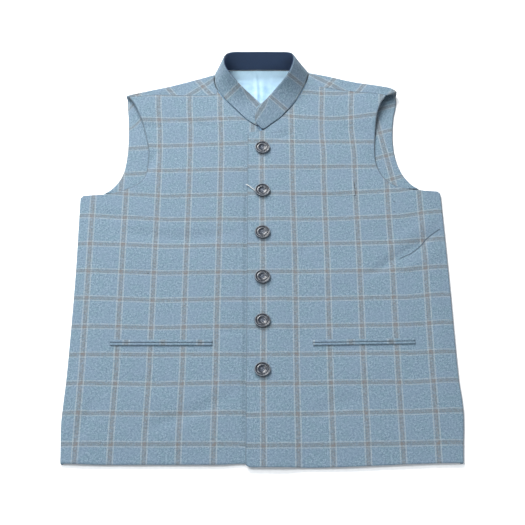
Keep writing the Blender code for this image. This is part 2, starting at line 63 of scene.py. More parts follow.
# Sides and hem
HALF_WIDTH_RIGHT = [
    (277.0, -6.0), (278.5, 22.0), (280.8, 60.0), (280.0, 95.0), (278.4, 150.0), (278.0, 300.0),
    (280.5, 440.0),
]
HALF_WIDTH_LEFT = [
    (275.5, -6.0), (277.2, 22.0), (280.9, 65.0), (281.4, 95.0), (278.6, 145.0), (277.2, 300.0),
    (274.8, 449.0),
]
SIDE_CURL = 2.5
SIDE_SEAM_IN = 5.0
SIDE_TOP_RIGHT = 449.5
SIDE_TOP_LEFT = 458.0
SIDE_TOP = SIDE_TOP_RIGHT, SIDE_TOP_LEFT
HALF_WIDTH = HALF_WIDTH_RIGHT, HALF_WIDTH_LEFT
BACK_HEM = 3.0

# Closure
OVERLAP = 21.5
OVER_EDGE = 23.5
OVER_TOP = 574.4
OVER_NECK_START = 575.6
UNDER_TOP = 574.0
HEM_DIP = -6.0
HEM_CORNER = 9.0
HEM_CORNER_RISE = 5.0
HEM_SIDE_LEFT = 1.3
HEM_SAG = 1.7
HEM_SAG_FROM = -278.0
HEM_SAG_SIDE_REACH = 60.0
HEM_SAG_TO = -60.0
HEM_SAG_END_REACH = 30.0
HEM_BEND_REACH = 150.0
# Heights, and shares of the way up the neck side, where a front's rows have to pass
LOW_MARKS = (20.0, 60.0)
UNDER_MARKS = (0.6204, 0.625)

# Heights of the fronts' outer face
SIDE_HEIGHT = 2.0 * SIDE_CURL
CHEST_HEIGHT = 6.6
CLOSURE_HEIGHT = (5.8, 8.3)
LEAST_HEIGHT = 4.5
LEAST_OVER_HEIGHT = 7.9
HEM_DROP = 1.4
HEM_DROP_REACH = 45.0
SIDE_RISE_REACH = 22.0
CLOSURE_INNER = 24.0
CLOSURE_OUTER = 60.0
SHOULDER_REACH = 110.0

# Shoulders
FOLD_NECK = 7.0
FOLD_TIP = (8.0, 9.0)
NECK_HALF = 80.0
NECK_REACH = 35.0
NECK_CORNER = 50.0
NECK_EDGE = 709.8
NECK_CORNER_DROP = 5.0
BACK_BEND_FROM = 500.0
TIP_PLACE = ((-208.0, 636.0), (200.0, 640.0))
TIP_LIFT = (2.5, 7.0)
TIP_LIFT_REACH = 80.0
TIP_BULGE = 2.0
TIP_FROM = 192.0
TIP_REACH = 22.0

# Outlines as (x, v)
BACK_ARMHOLE_RIGHT = [
    (-275.5, 450.5), (-274.5, 452.3), (-269.0, 452.8), (-262.0, 453.1), (-255.0, 453.8), (-245.8, 457.0),
    (-236.9, 462.8), (-227.5, 474.0), (-220.5, 487.0), (-215.8, 503.5), (-213.0, 527.4), (-212.4, 551.0),
    (-213.2, 581.0), (-214.7, 604.3), (-217.4, 627.8), (-218.2, 645.4),
]
BACK_ARMHOLE_LEFT = [
    (270.0, 460.5), (269.0, 462.6), (264.0, 463.1), (259.0, 463.3), (248.4, 464.5), (240.2, 467.6),
    (231.5, 474.7), (223.0, 486.4), (216.3, 499.8), (210.8, 517.8), (207.7, 537.0), (206.5, 560.0),
    (207.6, 583.4), (210.0, 606.6), (214.5, 628.0), (216.3, 641.0), (215.8, 650.0),
]
FRONT_ARMHOLE_RIGHT = [
    (-278.0, 449.5), (-277.2, 451.4), (-272.0, 451.9), (-242.5, 453.5), (-219.8, 459.7), (-195.4, 472.1),
    (-186.0, 482.5), (-181.0, 497.0), (-179.0, 531.6), (-181.6, 551.5), (-190.4, 589.9), (-196.9, 608.6),
    (-207.0, 632.0), (-215.0, 643.0),
]
FRONT_ARMHOLE_LEFT = [
    (272.3, 458.0), (271.6, 459.8), (267.0, 460.2), (240.8, 460.7), (221.0, 465.1), (209.2, 468.6),
    (194.4, 478.3), (185.4, 491.6), (179.6, 507.9), (176.8, 526.0), (177.5, 556.3), (181.7, 600.1),
    (188.0, 624.5), (199.0, 643.0),
]
SHOULDER_FOLD_RIGHT = [(-218.2, 649.2), (-150.3, 670.0), (-101.3, 687.2), (-80.0, 695.6)]
SHOULDER_FOLD_LEFT = [
    (80.0, 700.0), (98.0, 694.6), (122.0, 687.2), (158.5, 674.9), (190.0, 666.0), (204.0, 662.2),
    (211.5, 659.0), (215.8, 654.4),
]
SHOULDER_SEAM_RIGHT = [
    (-216.0, 643.3), (-197.7, 646.0), (-154.2, 650.7), (-117.0, 649.0), (-89.6, 650.5), (-77.5, 657.5),
]
SHOULDER_SEAM_LEFT = [(76.0, 672.5), (106.1, 665.7), (157.5, 653.6), (186.3, 646.9), (200.0, 643.3)]
BACK_ARMHOLE = BACK_ARMHOLE_RIGHT, BACK_ARMHOLE_LEFT
FRONT_ARMHOLE = FRONT_ARMHOLE_RIGHT, FRONT_ARMHOLE_LEFT
SHOULDER_FOLD = SHOULDER_FOLD_RIGHT, SHOULDER_FOLD_LEFT
SHOULDER_SEAM = SHOULDER_SEAM_RIGHT, SHOULDER_SEAM_LEFT
# The point of each front's armhole from which its edge is pressed
ARMHOLE_CORNER = (4, 5)

# The collar's foot and its top edge, paired, from the over end round the neck to the under end
COLLAR_RULINGS = [
    ((-1.0, 575.8, 8.6), (-27.5, 604.0, 18.5)),
    ((14.5, 590.5, 8.7), (-12.0, 617.5, 18.5)),
    ((31.0, 606.0, 8.5), (2.0, 628.5, 19.0)),
    ((53.0, 637.5, 8.0), (20.8, 651.5, 22.5)),
    ((67.3, 667.5, 7.5), (39.3, 671.5, 30.5)),
    ((73.5, 688.0, 7.3), (47.3, 687.0, 35.0)),
    ((75.0, 697.5, 6.2), (50.8, 699.5, 36.8)),
    ((71.5, 704.5, 4.3), (49.8, 710.6, 38.2)),
    ((59.0, 708.0, 2.9), (42.3, 715.0, 39.0)),
    ((33.0, 709.2, 2.5), (22.3, 715.4, 39.4)),
    ((0.0, 709.5, 2.5), (-1.2, 715.4, 39.6)),
    ((-33.0, 709.2, 2.5), (-25.7, 715.2, 39.7)),
    ((-59.0, 708.0, 2.9), (-48.2, 714.6, 39.9)),
    ((-72.0, 704.0, 4.3), (-59.2, 710.0, 39.8)),
    ((-77.5, 697.0, 6.0), (-63.2, 700.0, 39.3)),
    ((-78.2, 686.0, 7.0), (-61.7, 687.5, 38.0)),
    ((-75.5, 668.5, 7.2), (-53.7, 674.5, 34.5)),
    ((-62.0, 644.5, 7.0), (-35.2, 657.5, 24.0)),
    ((-41.0, 619.5, 6.8), (-13.0, 640.5, 13.5)),
    ((-24.0, 600.0, 6.7), (1.0, 626.5, 11.0)),
    ((-5.5, 586.0, 6.7), (17.0, 613.5, 9.5)),
]
COLLAR_BANDS = [-9.0, 60.0, 118.7, 177.0, 240.0, 300.0, 366.0, 440.0]
COLLAR_STRIPE = [
    (0.0, 22.0), (18.0, 27.0), (52.0, 38.0), (90.0, 46.0), (340.0, 46.0), (390.0, 31.0), (421.0, 30.0),
]
BAND_REACH = 9.0
COLLAR_REPEAT = 55.0
COLLAR_SLANT = 4.0
COLLAR_SLANT_HEIGHT = 35.0
COLLAR_MIDDLE = 200.0
COLLAR_CORNER = 35.0
COLLAR_TRIM = 2.0
COLLAR_TIP_ROUND = 0.25
COLLAR_TIP_REACH = 5.0
COLLAR_STEPS = 8
COLLAR_ROWS = 11

# Lining and the strips inside the armholes
LINING_HALF_WIDTHS = [
    (560.0, 48.0), (590.0, 54.0), (620.0, 64.0), (645.0, 72.0), (668.0, 73.0), (684.0, 70.0), (694.0, 67.0),
    (701.0, 60.0), (705.0, 52.0),
]
LINING_FOLDS = [
    ([(-12.0, 712.0), (-11.0, 690.0), (-9.0, 660.0), (-8.0, 620.0)], -2.2, 3.2),
    ([(2.0, 712.0), (1.0, 690.0), (0.0, 660.0), (0.0, 620.0)], -1.2, 7.0),
    ([(-60.0, 676.0), (-40.0, 681.0), (-18.0, 679.0)], -1.8, 5.0),
    ([(10.0, 684.0), (28.0, 690.0), (48.0, 684.0)], -1.5, 6.0),
    ([(-38.0, 655.0), (-22.0, 660.0), (-4.0, 650.0)], -1.3, 7.0),
    ([(14.0, 664.0), (26.0, 652.0), (34.0, 640.0)], -1.6, 5.0),
    ([(-28.0, 692.0), (-24.0, 698.0), (-16.0, 703.0)], -1.2, 4.0),
]
FACING_ENDS = ((457.0, 640.0), (466.0, 642.0))
FACING_HIDDEN = 15.0
FACING_LEAST = 30.0
FACING_IN = 0.8
FACING_SWELL = 0.35

# Pockets
POCKET_INNER = 72.0
POCKET_OUTER = 220.0
POCKET_LINE = 189.0
POCKET_SLOPE_LEFT = 0.02
POCKET_SLOPE_RIGHT = 0.0
UPPER_WELT = 5.3
LOWER_WELT = 4.5
WELT_WALL = 1.2
WELT_STRIPE = ((-143.0, 53.0), (127.3, 58.0))
WELT_ROW = 0.35
BREAST_WALL = 0.6
OPEN_FROM = 0.94
OPEN_REACH = 0.06
BREAST_WELT = [(39.6, 445.8), (143.3, 450.4), (141.0, 479.2), (39.5, 473.3)]

# Buttons
BUTTON_LINE = [541.5, 458.5, 380.5, 300.5, 225.0, 144.0]
BUTTON_TURNS = [0.3, 1.1, 0.5, 0.1, 1.3, 0.8]
BUTTON_RADIUS = 11.8
BUTTON_HEIGHT = 4.0
HOLE_OFFSET = 1.9
HOLE_RADIUS = 0.85
HOLE_DEPTH = 1.3
BUTTON_SIDES = 64
# A button's top from its middle to its rim: share of its radius, and height counted from the full height
BUTTON_PROFILE = [
    (0.0, -2.05), (0.26, -1.95), (0.42, -1.55), (0.52, -0.85), (0.58, -0.62), (0.64, -0.95),
    (0.70, -1.25), (0.78, -1.05), (0.85, -0.22), (0.91, 0.0), (0.96, -0.35), (1.0, -1.3),
]
# The rings under its rim: share of its radius, and height off the cloth
BUTTON_UNDER = [(0.985, BUTTON_HEIGHT - 1.9), (0.93, BUTTON_HEIGHT - 2.6), (0.84, 0.5), (0.62, 0.0)]
THREAD_LOW = BUTTON_HEIGHT - 2.9
THREAD_HIGH = BUTTON_HEIGHT - 1.6
STRAND_OFFSET = 0.28
STRAND_RADIUS = 0.34
LOOSE_THREAD = [
    (-25.5, 471.5, 7.2), (-22.0, 468.3, 9.6), (-17.5, 464.2, 9.4), (-13.5, 460.4, 9.3),
    (-10.5, 457.6, 9.4),
]
LOOSE_RADIUS = 0.6

# Across a band of the check: half the grey band, and how far its dark threads and the pale lines beside
# it are from its middle. The weave repeats after a pair of threads.
BAND_HALF = 2.3
CORE_OFF = 1.55
LINE_OFF = 4.15
THREAD_PAIR = 0.9

# The check: the place of each stripe at a few heights, and the height of each row at a few x, since
# the cloth isn't laid quite straight
REPEAT = 48.0
RIGHT_STRIPES = [
    (50.0, [-305.6, -258.0, -209.5, -162.9, -115.9, -67.7, -15.5, 32.5]),
    (148.0, [-305.2, -257.6, -208.0, -161.1, -114.0, -66.5, -15.5, 32.5]),
    (242.0, [-305.9, -258.3, -209.2, -161.3, -114.4, -66.7, -15.5, 32.5]),
    (337.0, [-306.9, -259.3, -209.6, -161.2, -114.1, -65.8, -15.5, 32.5]),
    (430.0, [-307.9, -260.3, -210.0, -161.0, -113.5, -65.2, -15.5, 32.5]),
    (530.0, [-307.9, -260.3, -210.8, -160.9, -113.6, -64.8, -15.5, 32.5]),
    (580.0, [-308.4, -260.8, -211.7, -163.0, -114.4, -66.1, -15.5, 32.5]),
    (625.0, [-312.4, -264.8, -216.0, -167.0, -117.2, -68.1, -15.5, 32.5]),
    (655.0, [-313.4, -265.8, -217.0, -168.0, -117.5, -68.3, -15.5, 32.5]),
]
LEFT_STRIPES = [
    (50.0, [1.4, 49.6, 97.3, 145.4, 193.6, 242.1, 290.1]),
    (100.0, [1.1, 48.8, 96.6, 144.7, 193.1, 242.1, 290.1]),
    (148.0, [1.3, 48.7, 96.6, 144.1, 192.9, 241.7, 289.7]),
    (242.0, [1.5, 48.8, 96.7, 144.5, 193.2, 242.2, 290.2]),
    (337.0, [0.8, 48.7, 96.9, 144.6, 193.6, 242.9, 290.9]),
    (430.0, [-0.4, 47.2, 95.6, 143.5, 192.0, 241.6, 289.6]),
    (480.0, [-0.8, 46.5, 95.1, 143.4, 192.3, 241.2, 289.2]),
    (530.0, [-1.2, 46.6, 96.0, 144.0, 193.5, 241.2, 289.2]),
    (580.0, [-0.5, 46.4, 93.5, 140.7, 190.8, 238.8, 286.8]),
    (625.0, [-0.5, 46.0, 94.7, 141.6, 190.5, 238.5, 286.5]),
    (660.0, [0.0, 47.5, 96.5, 144.0, 192.0, 240.0, 288.0]),
]
RIGHT_ROWS = [
    (
        -272.0,
        [29.4, 77.3, 124.4, 170.8, 217.9, 266.5, 314.2, 362.4, 414.6, 459.0, 503.0, 549.0, 601.0, 652.0],
    ),
    (
        -150.0,
        [28.5, 75.4, 122.2, 169.8, 215.0, 261.6, 309.1, 357.0, 406.7, 449.6, 498.4, 547.3, 599.0, 650.5],
    ),
    (
        -25.0,
        [29.3, 77.5, 125.6, 170.5, 218.3, 264.8, 311.2, 359.4, 406.9, 453.9, 502.0, 553.5, 603.6, 655.0],
    ),
]
LEFT_ROWS = [
    (
        -10.0,
        [25.8, 72.6, 121.8, 169.2, 215.7, 263.0, 310.8, 359.4, 406.0, 454.4, 504.8, 555.5, 611.0, 662.0],
    ),
    (
        110.0,
        [28.2, 76.9, 125.0, 172.0, 218.7, 265.0, 312.2, 362.4, 407.2, 454.7, 507.0, 555.5, 602.0, 653.5],
    ),
    (
        211.0,
        [30.4, 78.6, 125.5, 172.7, 220.2, 266.8, 314.5, 364.7, 411.8, 461.0, 508.5, 555.5, 609.5, 656.0],
    ),
    (
        267.0,
        [32.2, 81.4, 129.8, 176.2, 225.0, 272.7, 321.7, 372.0, 422.2, 473.0, 520.0, 568.0, 616.0, 664.0],
    ),
]
BACK_STRIPE = 29.5
BACK_STRIPE_SHIFT = 4.5
BACK_ROW = 34.7
BACK_ROW_REPEAT = 48.2

# Small dark specks on the cloth: x and y in the frame in millimetres, size and strength
SPECKS = [
    (-170.9, -47.2, 1.2, 0.9), (201.2, 83.3, 1.3, 0.6), (200.2, 64.3, 1.4, 0.5), (218.3, -43.7, 0.9, 0.7),
]

# Creases on the fronts: (points, depth, half width); a negative depth is a ridge
SIDE_SWELL = 0.8
CREASE_FADE = 0.3
CREASE_END = 0.25
WAVE_PHASE = (1.7, 0.0)
SHARP_FOLD = [
    (199.6, 331.1), (211.8, 339.3), (221.9, 343.8), (231.6, 352.1), (240.5, 361.4), (246.5, 370.6),
    (254.7, 378.1), (262.9, 384.7), (271.0, 391.1),
]
RIGHT_CREASES = [
    ([(-232, 398), (-205, 383), (-170, 378), (-130, 373), (-90, 375), (-55, 379), (-25, 381)], 1.7, 12.0),
    ([(-250, 420), (-222, 411), (-200, 409)], 1.2, 10.0),
    ([(-268, 28), (-254, 52), (-240, 80), (-233, 108)], 1.6, 13.0),
    ([(-28, 118), (-52, 103), (-80, 86), (-108, 73), (-142, 60), (-178, 42)], 1.7, 12.0),
    ([(-67, 212), (-44, 209), (-23, 213)], 1.5, 6.0),
    ([(-200, 127), (-172, 129), (-136, 124)], 0.8, 9.0),
    ([(-165, 541), (-173, 519), (-179, 502), (-189, 480)], 1.7, 9.0),
    ([(-198, 592), (-179, 585), (-156, 588)], 1.4, 7.0),
    ([(-145, 604), (-118, 594), (-88, 586), (-72, 589)], 1.2, 8.0),
    ([(-185, 302), (-168, 309), (-152, 305)], 0.5, 8.0),
    ([(-262, 250), (-262, 190), (-258, 140)], 0.7, 14.0),
    ([(-120, 330), (-85, 320), (-50, 326)], -0.7, 22.0),
    ([(-215, 350), (-180, 335), (-140, 340)], -0.6, 24.0),
    ([(-150, 480), (-105, 500), (-60, 490)], -0.8, 30.0),
    ([(-200, 95), (-160, 92), (-110, 108)], -0.8, 20.0),
    ([(-25.0, -40), (-25.0, 200), (-25.0, 380), (-25.0, 610)], 1.6, 3.4),
]
LEFT_CREASES = [
    ([(272, 396), (251, 376), (232, 359), (208, 344), (187, 328), (165, 311), (142, 303)], 2.1, 8.0),
    (SHARP_FOLD, 1.5, 2.4),
    ([(265.3, 360.2), (270.7, 362.9), (276.0, 366.2)], 1.1, 2.2),
    ([(274.5, 357.0), (270.7, 362.9)], 1.0, 2.2),
    ([(268, 352), (246, 336), (222, 322), (196, 312)], -1.3, 10.0),
    ([(262, 412), (240, 394), (216, 374), (190, 358)], -1.0, 11.0),
    ([(32, 213), (52, 205), (68, 196)], 1.3, 7.0),
    ([(27, 562), (34, 568), (42, 576)], 1.5, 10.0),
    ([(54, 335), (64, 352), (72, 362)], 0.9, 9.0),
    ([(77, 60), (82, 78), (100, 90), (122, 96), (147, 96)], 1.1, 12.0),
    ([(90, 34), (97, 50)], 0.8, 9.0),
    ([(168, 30), (182, 38)], 0.9, 10.0),
    ([(245, 96), (256, 75), (260, 55), (270, 34)], 1.2, 12.0),
    ([(124, 588), (142, 582), (160, 573)], 1.3, 7.0),
    ([(172, 556), (174, 530), (184, 500), (197, 482)], 1.1, 8.0),
    ([(52, 490), (90, 500), (125, 490)], 0.7, 11.0),
    ([(14, 432), (26, 442)], 0.8, 8.0),
    ([(222, 262), (234, 232), (244, 200)], 0.7, 12.0),
    ([(60, 290), (110, 305), (150, 290)], -0.7, 20.0),
    ([(100, 420), (150, 405), (190, 415)], -0.8, 26.0),
    ([(95, 140), (140, 150), (190, 140)], -0.7, 24.0),
    ([(80, 540), (115, 530), (150, 545)], -0.7, 24.0),
    ([(84, 668), (92, 655), (96, 640)], 0.9, 5.0),
]


def smooth(t):
    """Zero below 0, one above 1, eased between."""
    t = np.clip(t, 0.0, 1.0)
    return t * t * (3.0 - 2.0 * t)


def smooth_curve(points, steps):
    """Points along a Catmull-Rom curve through the given ones."""
    p = np.array(points, float)
    p = np.vstack([2.0 * p[0] - p[1], p, 2.0 * p[-1] - p[-2]])
    found = []
    for a, b, c, d in zip(p, p[1:], p[2:], p[3:]):
        for t in np.arange(steps) / steps:
            found.append(
                0.5 * (2.0 * b + (c - a) * t + (2.0 * a - 5.0 * b + 4.0 * c - d) * t**2)
                + 0.5 * (3.0 * b - a - 3.0 * c + d) * t**3
            )
    return np.array(found + [p[-2]])


def along(points, v):
    """x of an outline at height v; the outline rises from its first point to its last."""
    outline = smooth_curve(points, CURVE_STEPS)
    return np.interp(v, np.maximum.accumulate(outline[:, 1]), outline[:, 0])


def across(points, x):
    """v of an outline at x; the outline runs towards +x."""
    outline = smooth_curve(points, CURVE_STEPS)
    return np.interp(x, np.maximum.accumulate(outline[:, 0]), outline[:, 1])


def fold_height(x):
    """How high the shoulder fold stands, from the neck out to the tip."""
    out = (np.abs(x) - NECK_HALF) / (SHOULDER_FOLD_LEFT[-1][0] - NECK_HALF)
    tip = np.where(x < 0, *FOLD_TIP)
    return FOLD_NECK + smooth(out) * (tip - FOLD_NECK)


def side_edge(v, left):
    """Half width of the jacket at height v, on the wearer's left or right."""
    return along(HALF_WIDTH[left], v)


def tip_lift(x, v, left):
    """How far the cloth stands up off the one below at the shoulder's tip."""
    tip_x, tip_v = TIP_PLACE[left]
    return TIP_LIFT[left] * (1.0 - smooth(np.hypot(x - tip_x, v - tip_v) / TIP_LIFT_REACH))


def front_level(x, v, left):
    """Height of a front's outer face above the floor, before its creases."""
    inside = smooth((side_edge(v, left) - SIDE_CURL - np.abs(x)) / SIDE_RISE_REACH)
    closure = smooth((CLOSURE_OUTER - np.abs(x)) / (CLOSURE_OUTER - CLOSURE_INNER))
    closure = np.where(SIGN[left] * x < 0, 1.0, closure)
    level = CHEST_HEIGHT + (CLOSURE_HEIGHT[left] - CHEST_HEIGHT) * closure
    level = level - HEM_DROP * (1.0 - smooth(v / HEM_DROP_REACH))
    beside_closure = smooth((np.abs(x) - CLOSURE_INNER) / CLOSURE_OUTER)
    near_shoulder = smooth((v - across(SHOULDER_SEAM[left], x) + SHOULDER_REACH) / SHOULDER_REACH)
    level = level + near_shoulder * beside_closure * (fold_height(x) - level)
    return SIDE_HEIGHT + inside * (level - SIDE_HEIGHT)


def nearest_on(x, v, line):
    """How far each point is from a line, and how far along the line it's nearest, as a share."""
    steps = np.linalg.norm(np.diff(line, axis=0), axis=1)
    begun = np.concatenate([[0.0], np.cumsum(steps)])
    nearest = np.full(x.shape, 1e9)
    place = np.zeros(x.shape)
    for a, b, start, step in zip(line, line[1:], begun, steps):
        t = ((x - a[0]) * (b[0] - a[0]) + (v - a[1]) * (b[1] - a[1])) / step**2
        t = np.clip(t, 0.0, 1.0)
        far = np.hypot(x - a[0] - t * (b[0] - a[0]), v - a[1] - t * (b[1] - a[1]))
        closer = far < nearest
        nearest = np.where(closer, far, nearest)
        place = np.where(closer, start + t * step, place)
    return nearest, place / begun[-1]


def crease(x, v, line, depth, width):
    """A soft trough along a line, deepest in the middle, fading at both ends, its sides a little raised."""
    nearest, share = nearest_on(x, v, smooth_curve(line, 3))
    fade = smooth(share / CREASE_FADE) * smooth((1.0 - share) / CREASE_FADE)
    fade = fade * (1.0 - CREASE_END) + CREASE_END
    across_it = (nearest / width) ** 2
    return -depth * fade * (1.0 - SIDE_SWELL * across_it) * np.exp(-across_it)


def front_height(x, v, left):
    """Height of a front's outer face with its creases and slight unevenness."""
    height = front_level(x, v, left) + tip_lift(x, v, left)
    inside = smooth((side_edge(v, left) - SIDE_CURL - np.abs(x)) / SIDE_RISE_REACH)
    change = np.zeros(x.shape)
    for line, depth, width in LEFT_CREASES if left else RIGHT_CREASES:
        change += crease(x, v, line, depth, width)
    # Slight unevenness: broad waves, finer ones, and a ripple along the hem
    phase = WAVE_PHASE[left]
    change += 0.30 * np.sin(x / 31.0 + v / 57.0 + phase) * np.sin(v / 43.0 - x / 88.0 + 2.0 * phase)
    change += 0.16 * np.sin(x / 12.5 - v / 29.0 + phase) * np.sin(v / 15.5 + x / 37.0)
    hem = 1.0 - smooth(v / 30.0)
    change += 0.35 * hem * np.sin(x / 19.0 + phase) * np.sin(x / 47.0 + 1.0)
    height = height + change * (0.15 + 0.85 * inside)
    over = left & (x < CLOSURE_INNER)
    least = np.where(over, LEAST_OVER_HEIGHT - HEM_DROP * (1.0 - smooth(v / HEM_DROP_REACH)), LEAST_HEIGHT)
    edge = np.minimum(least, front_level(x, v, left))
    return np.maximum(height, edge)


def rows_at(x, v, table):
    """Which row of the check runs through a point, counted from the hem, from rows known at a few x.

    With x and v the other way round it finds the stripe, from stripes known at a few heights.
    """
    places = [place for place, _ in table]
    flat_x, flat_v = x.ravel(), v.ravel()
    level = np.array([np.interp(flat_x, places, row) for row in zip(*[known for _, known in table])])
    index = np.clip((flat_v[None, :] >= level).sum(axis=0) - 1, 0, len(level) - 2)
    low = level[index, np.arange(len(flat_x))]
    high = level[index + 1, np.arange(len(flat_x))]
    return (index + (flat_v - low) / (high - low)).reshape(x.shape)


def front_check(x, v, left):
    """The check's own coordinates on a front, in repeats."""
    u = rows_at(v, x, LEFT_STRIPES if left else RIGHT_STRIPES)
    return np.dstack([u, rows_at(x, v, LEFT_ROWS if left else RIGHT_ROWS)])


def back_check(x, v):
    """The check's own coordinates on the back, laid out flat."""
    shift = BACK_STRIPE_SHIFT * smooth((v - 600.0) / 60.0) * np.sign(x)
    return np.dstack([(x - BACK_STRIPE + shift) / REPEAT, (v - BACK_ROW) / BACK_ROW_REPEAT])


def loft(left_edge, right_edge, places, top, bend_from, hem=None):
    """Rows of (x, v) between two matching edges, bent to a hem curve below and a seam curve above."""
    columns = (np.array(places) - places[0]) / (places[-1] - places[0])
    rows = left_edge[:, None, :] + columns[None, :, None] * (right_edge - left_edge)[:, None, :]
    if hem is not None:
        bend = hem(rows[0, :, 0]) - rows[0, :, 1]
        fade = 1.0 - smooth((rows[:, :, 1] - rows[0, :, 1]) / HEM_BEND_REACH)
        rows[:, :, 1] += bend * fade
    bend = top(rows[-1, :, 0]) - rows[-1, :, 1]
    fade = np.clip((rows[:, :, 1] - bend_from) / (rows[-1, :, 1] - bend_from), 0.0, 1.0)
    rows[:, :, 1] += bend * fade
    return rows


def raised(rows, height):
    """(x, v, z) points from rows of (x, v) and a height for each."""
    return np.dstack([rows[:, :, 0], rows[:, :, 1], np.broadcast_to(height, rows.shape[:2])])


def heights_between(marks, step):
    """Rising heights through every mark, no further apart than the step."""
    found = []
    for low, high in zip(marks, marks[1:]):
        count = max(1, math.ceil((high - low) / step))
        found += [low + (high - low) * k / count for k in range(count)]
    return np.array(found + [marks[-1]])


def lengths_along(line):
    """How far along a line each of its points is."""
    return np.concatenate([[0.0], np.cumsum(np.linalg.norm(np.diff(line, axis=0), axis=1))])


def even_along(points, count):
    """Heights of an outline at even steps along its length, with close ones round the corner it starts at."""
    outline = smooth_curve(points, 4 * CURVE_STEPS)
    length = lengths_along(outline)
    places = np.concatenate([CORNER_STEPS, np.linspace(CORNER_REACH, length[-1], count)])
    return np.interp(places, length, np.maximum.accumulate(outline[:, 1]))


low_corner, high_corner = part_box("button_1")
PLAN_SHIFT = np.array([
    (low_corner.x + high_corner.x) / 2.0 / MM,
    (low_corner.y + high_corner.y) / 2.0 / MM - BUTTON_LINE[0],
    0.0,
])


def to_frame(points):
    """Plan points in millimetres as points of the frame, in metres."""
    return (np.asarray(points, float) + PLAN_SHIFT) * MM


def placed(name, data, material=None):
    """An object in the scene that shows a mesh, curve, lamp or camera."""
    made = bpy.data.objects.new(name, data)
    bpy.context.scene.collection.objects.link(made)
    if material:
        data.materials.append(material)
    return made


def shell(name, patches, wall, cloth, faces_down=False, seams=()):
    """Grids of points with the check's coordinates, joined where they meet and thickened behind them.

    A patch may also give how far each point is from the armhole's edge and from the closure's, and then
    how far it is to one side of the sharp fold and how far along it. The last row of each patch named in
    seams keeps a square edge, because another piece is sewn to it.
    """
    mesh = bpy.data.meshes.new(name)
    cage = bmesh.new()
    check, border, fold = [cage.loops.layers.uv.new(layer) for layer in ("check", "edge", "fold")]
    square = cage.edges.layers.float.new("crease_edge")
    for index, (points, pattern, *given) in enumerate(patches):
        far_off = np.ones((*points.shape[:2], 2))
        from_edge = given[0] / FAR if given else far_off
        from_fold = given[1] if len(given) > 1 else far_off
        corners = [[cage.verts.new(p) for p in row] for row in to_frame(points)]
        for i in range(len(corners) - 1):
            for j in range(len(corners[0]) - 1):
                ring = [(i, j), (i, j + 1), (i + 1, j + 1), (i + 1, j)]
                if faces_down:
                    ring.reverse()
                face = cage.faces.new([corners[a][b] for a, b in ring])
                for loop, place in zip(face.loops, ring):
                    loop[check].uv = pattern[place]
                    loop[border].uv = from_edge[place]
                    loop[fold].uv = from_fold[place]
        if index in seams:
            for ends in zip(corners[-1], corners[-1][1:]):
                edge = cage.edges.get(ends)
                edge[square] = 1.0
                edge.smooth = False
    bmesh.ops.remove_doubles(cage, verts=cage.verts, dist=1e-6)
    cage.to_mesh(mesh)
    cage.free()
    mesh.shade_smooth()
    made = placed(name, mesh, cloth)
    thick = made.modifiers.new("wall", "SOLIDIFY")
    thick.thickness = wall * MM
    thick.offset = -1.0
    rounded = made.modifiers.new("rounded", "SUBSURF")
    rounded.levels = 1
    rounded.render_levels = 1
    rounded.uv_smooth = "PRESERVE_BOUNDARIES"
    return made


def dress(piece, node):
    """The piece rides on the jacket and stands for its node."""
    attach(piece, "root")
    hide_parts(node)
    return piece


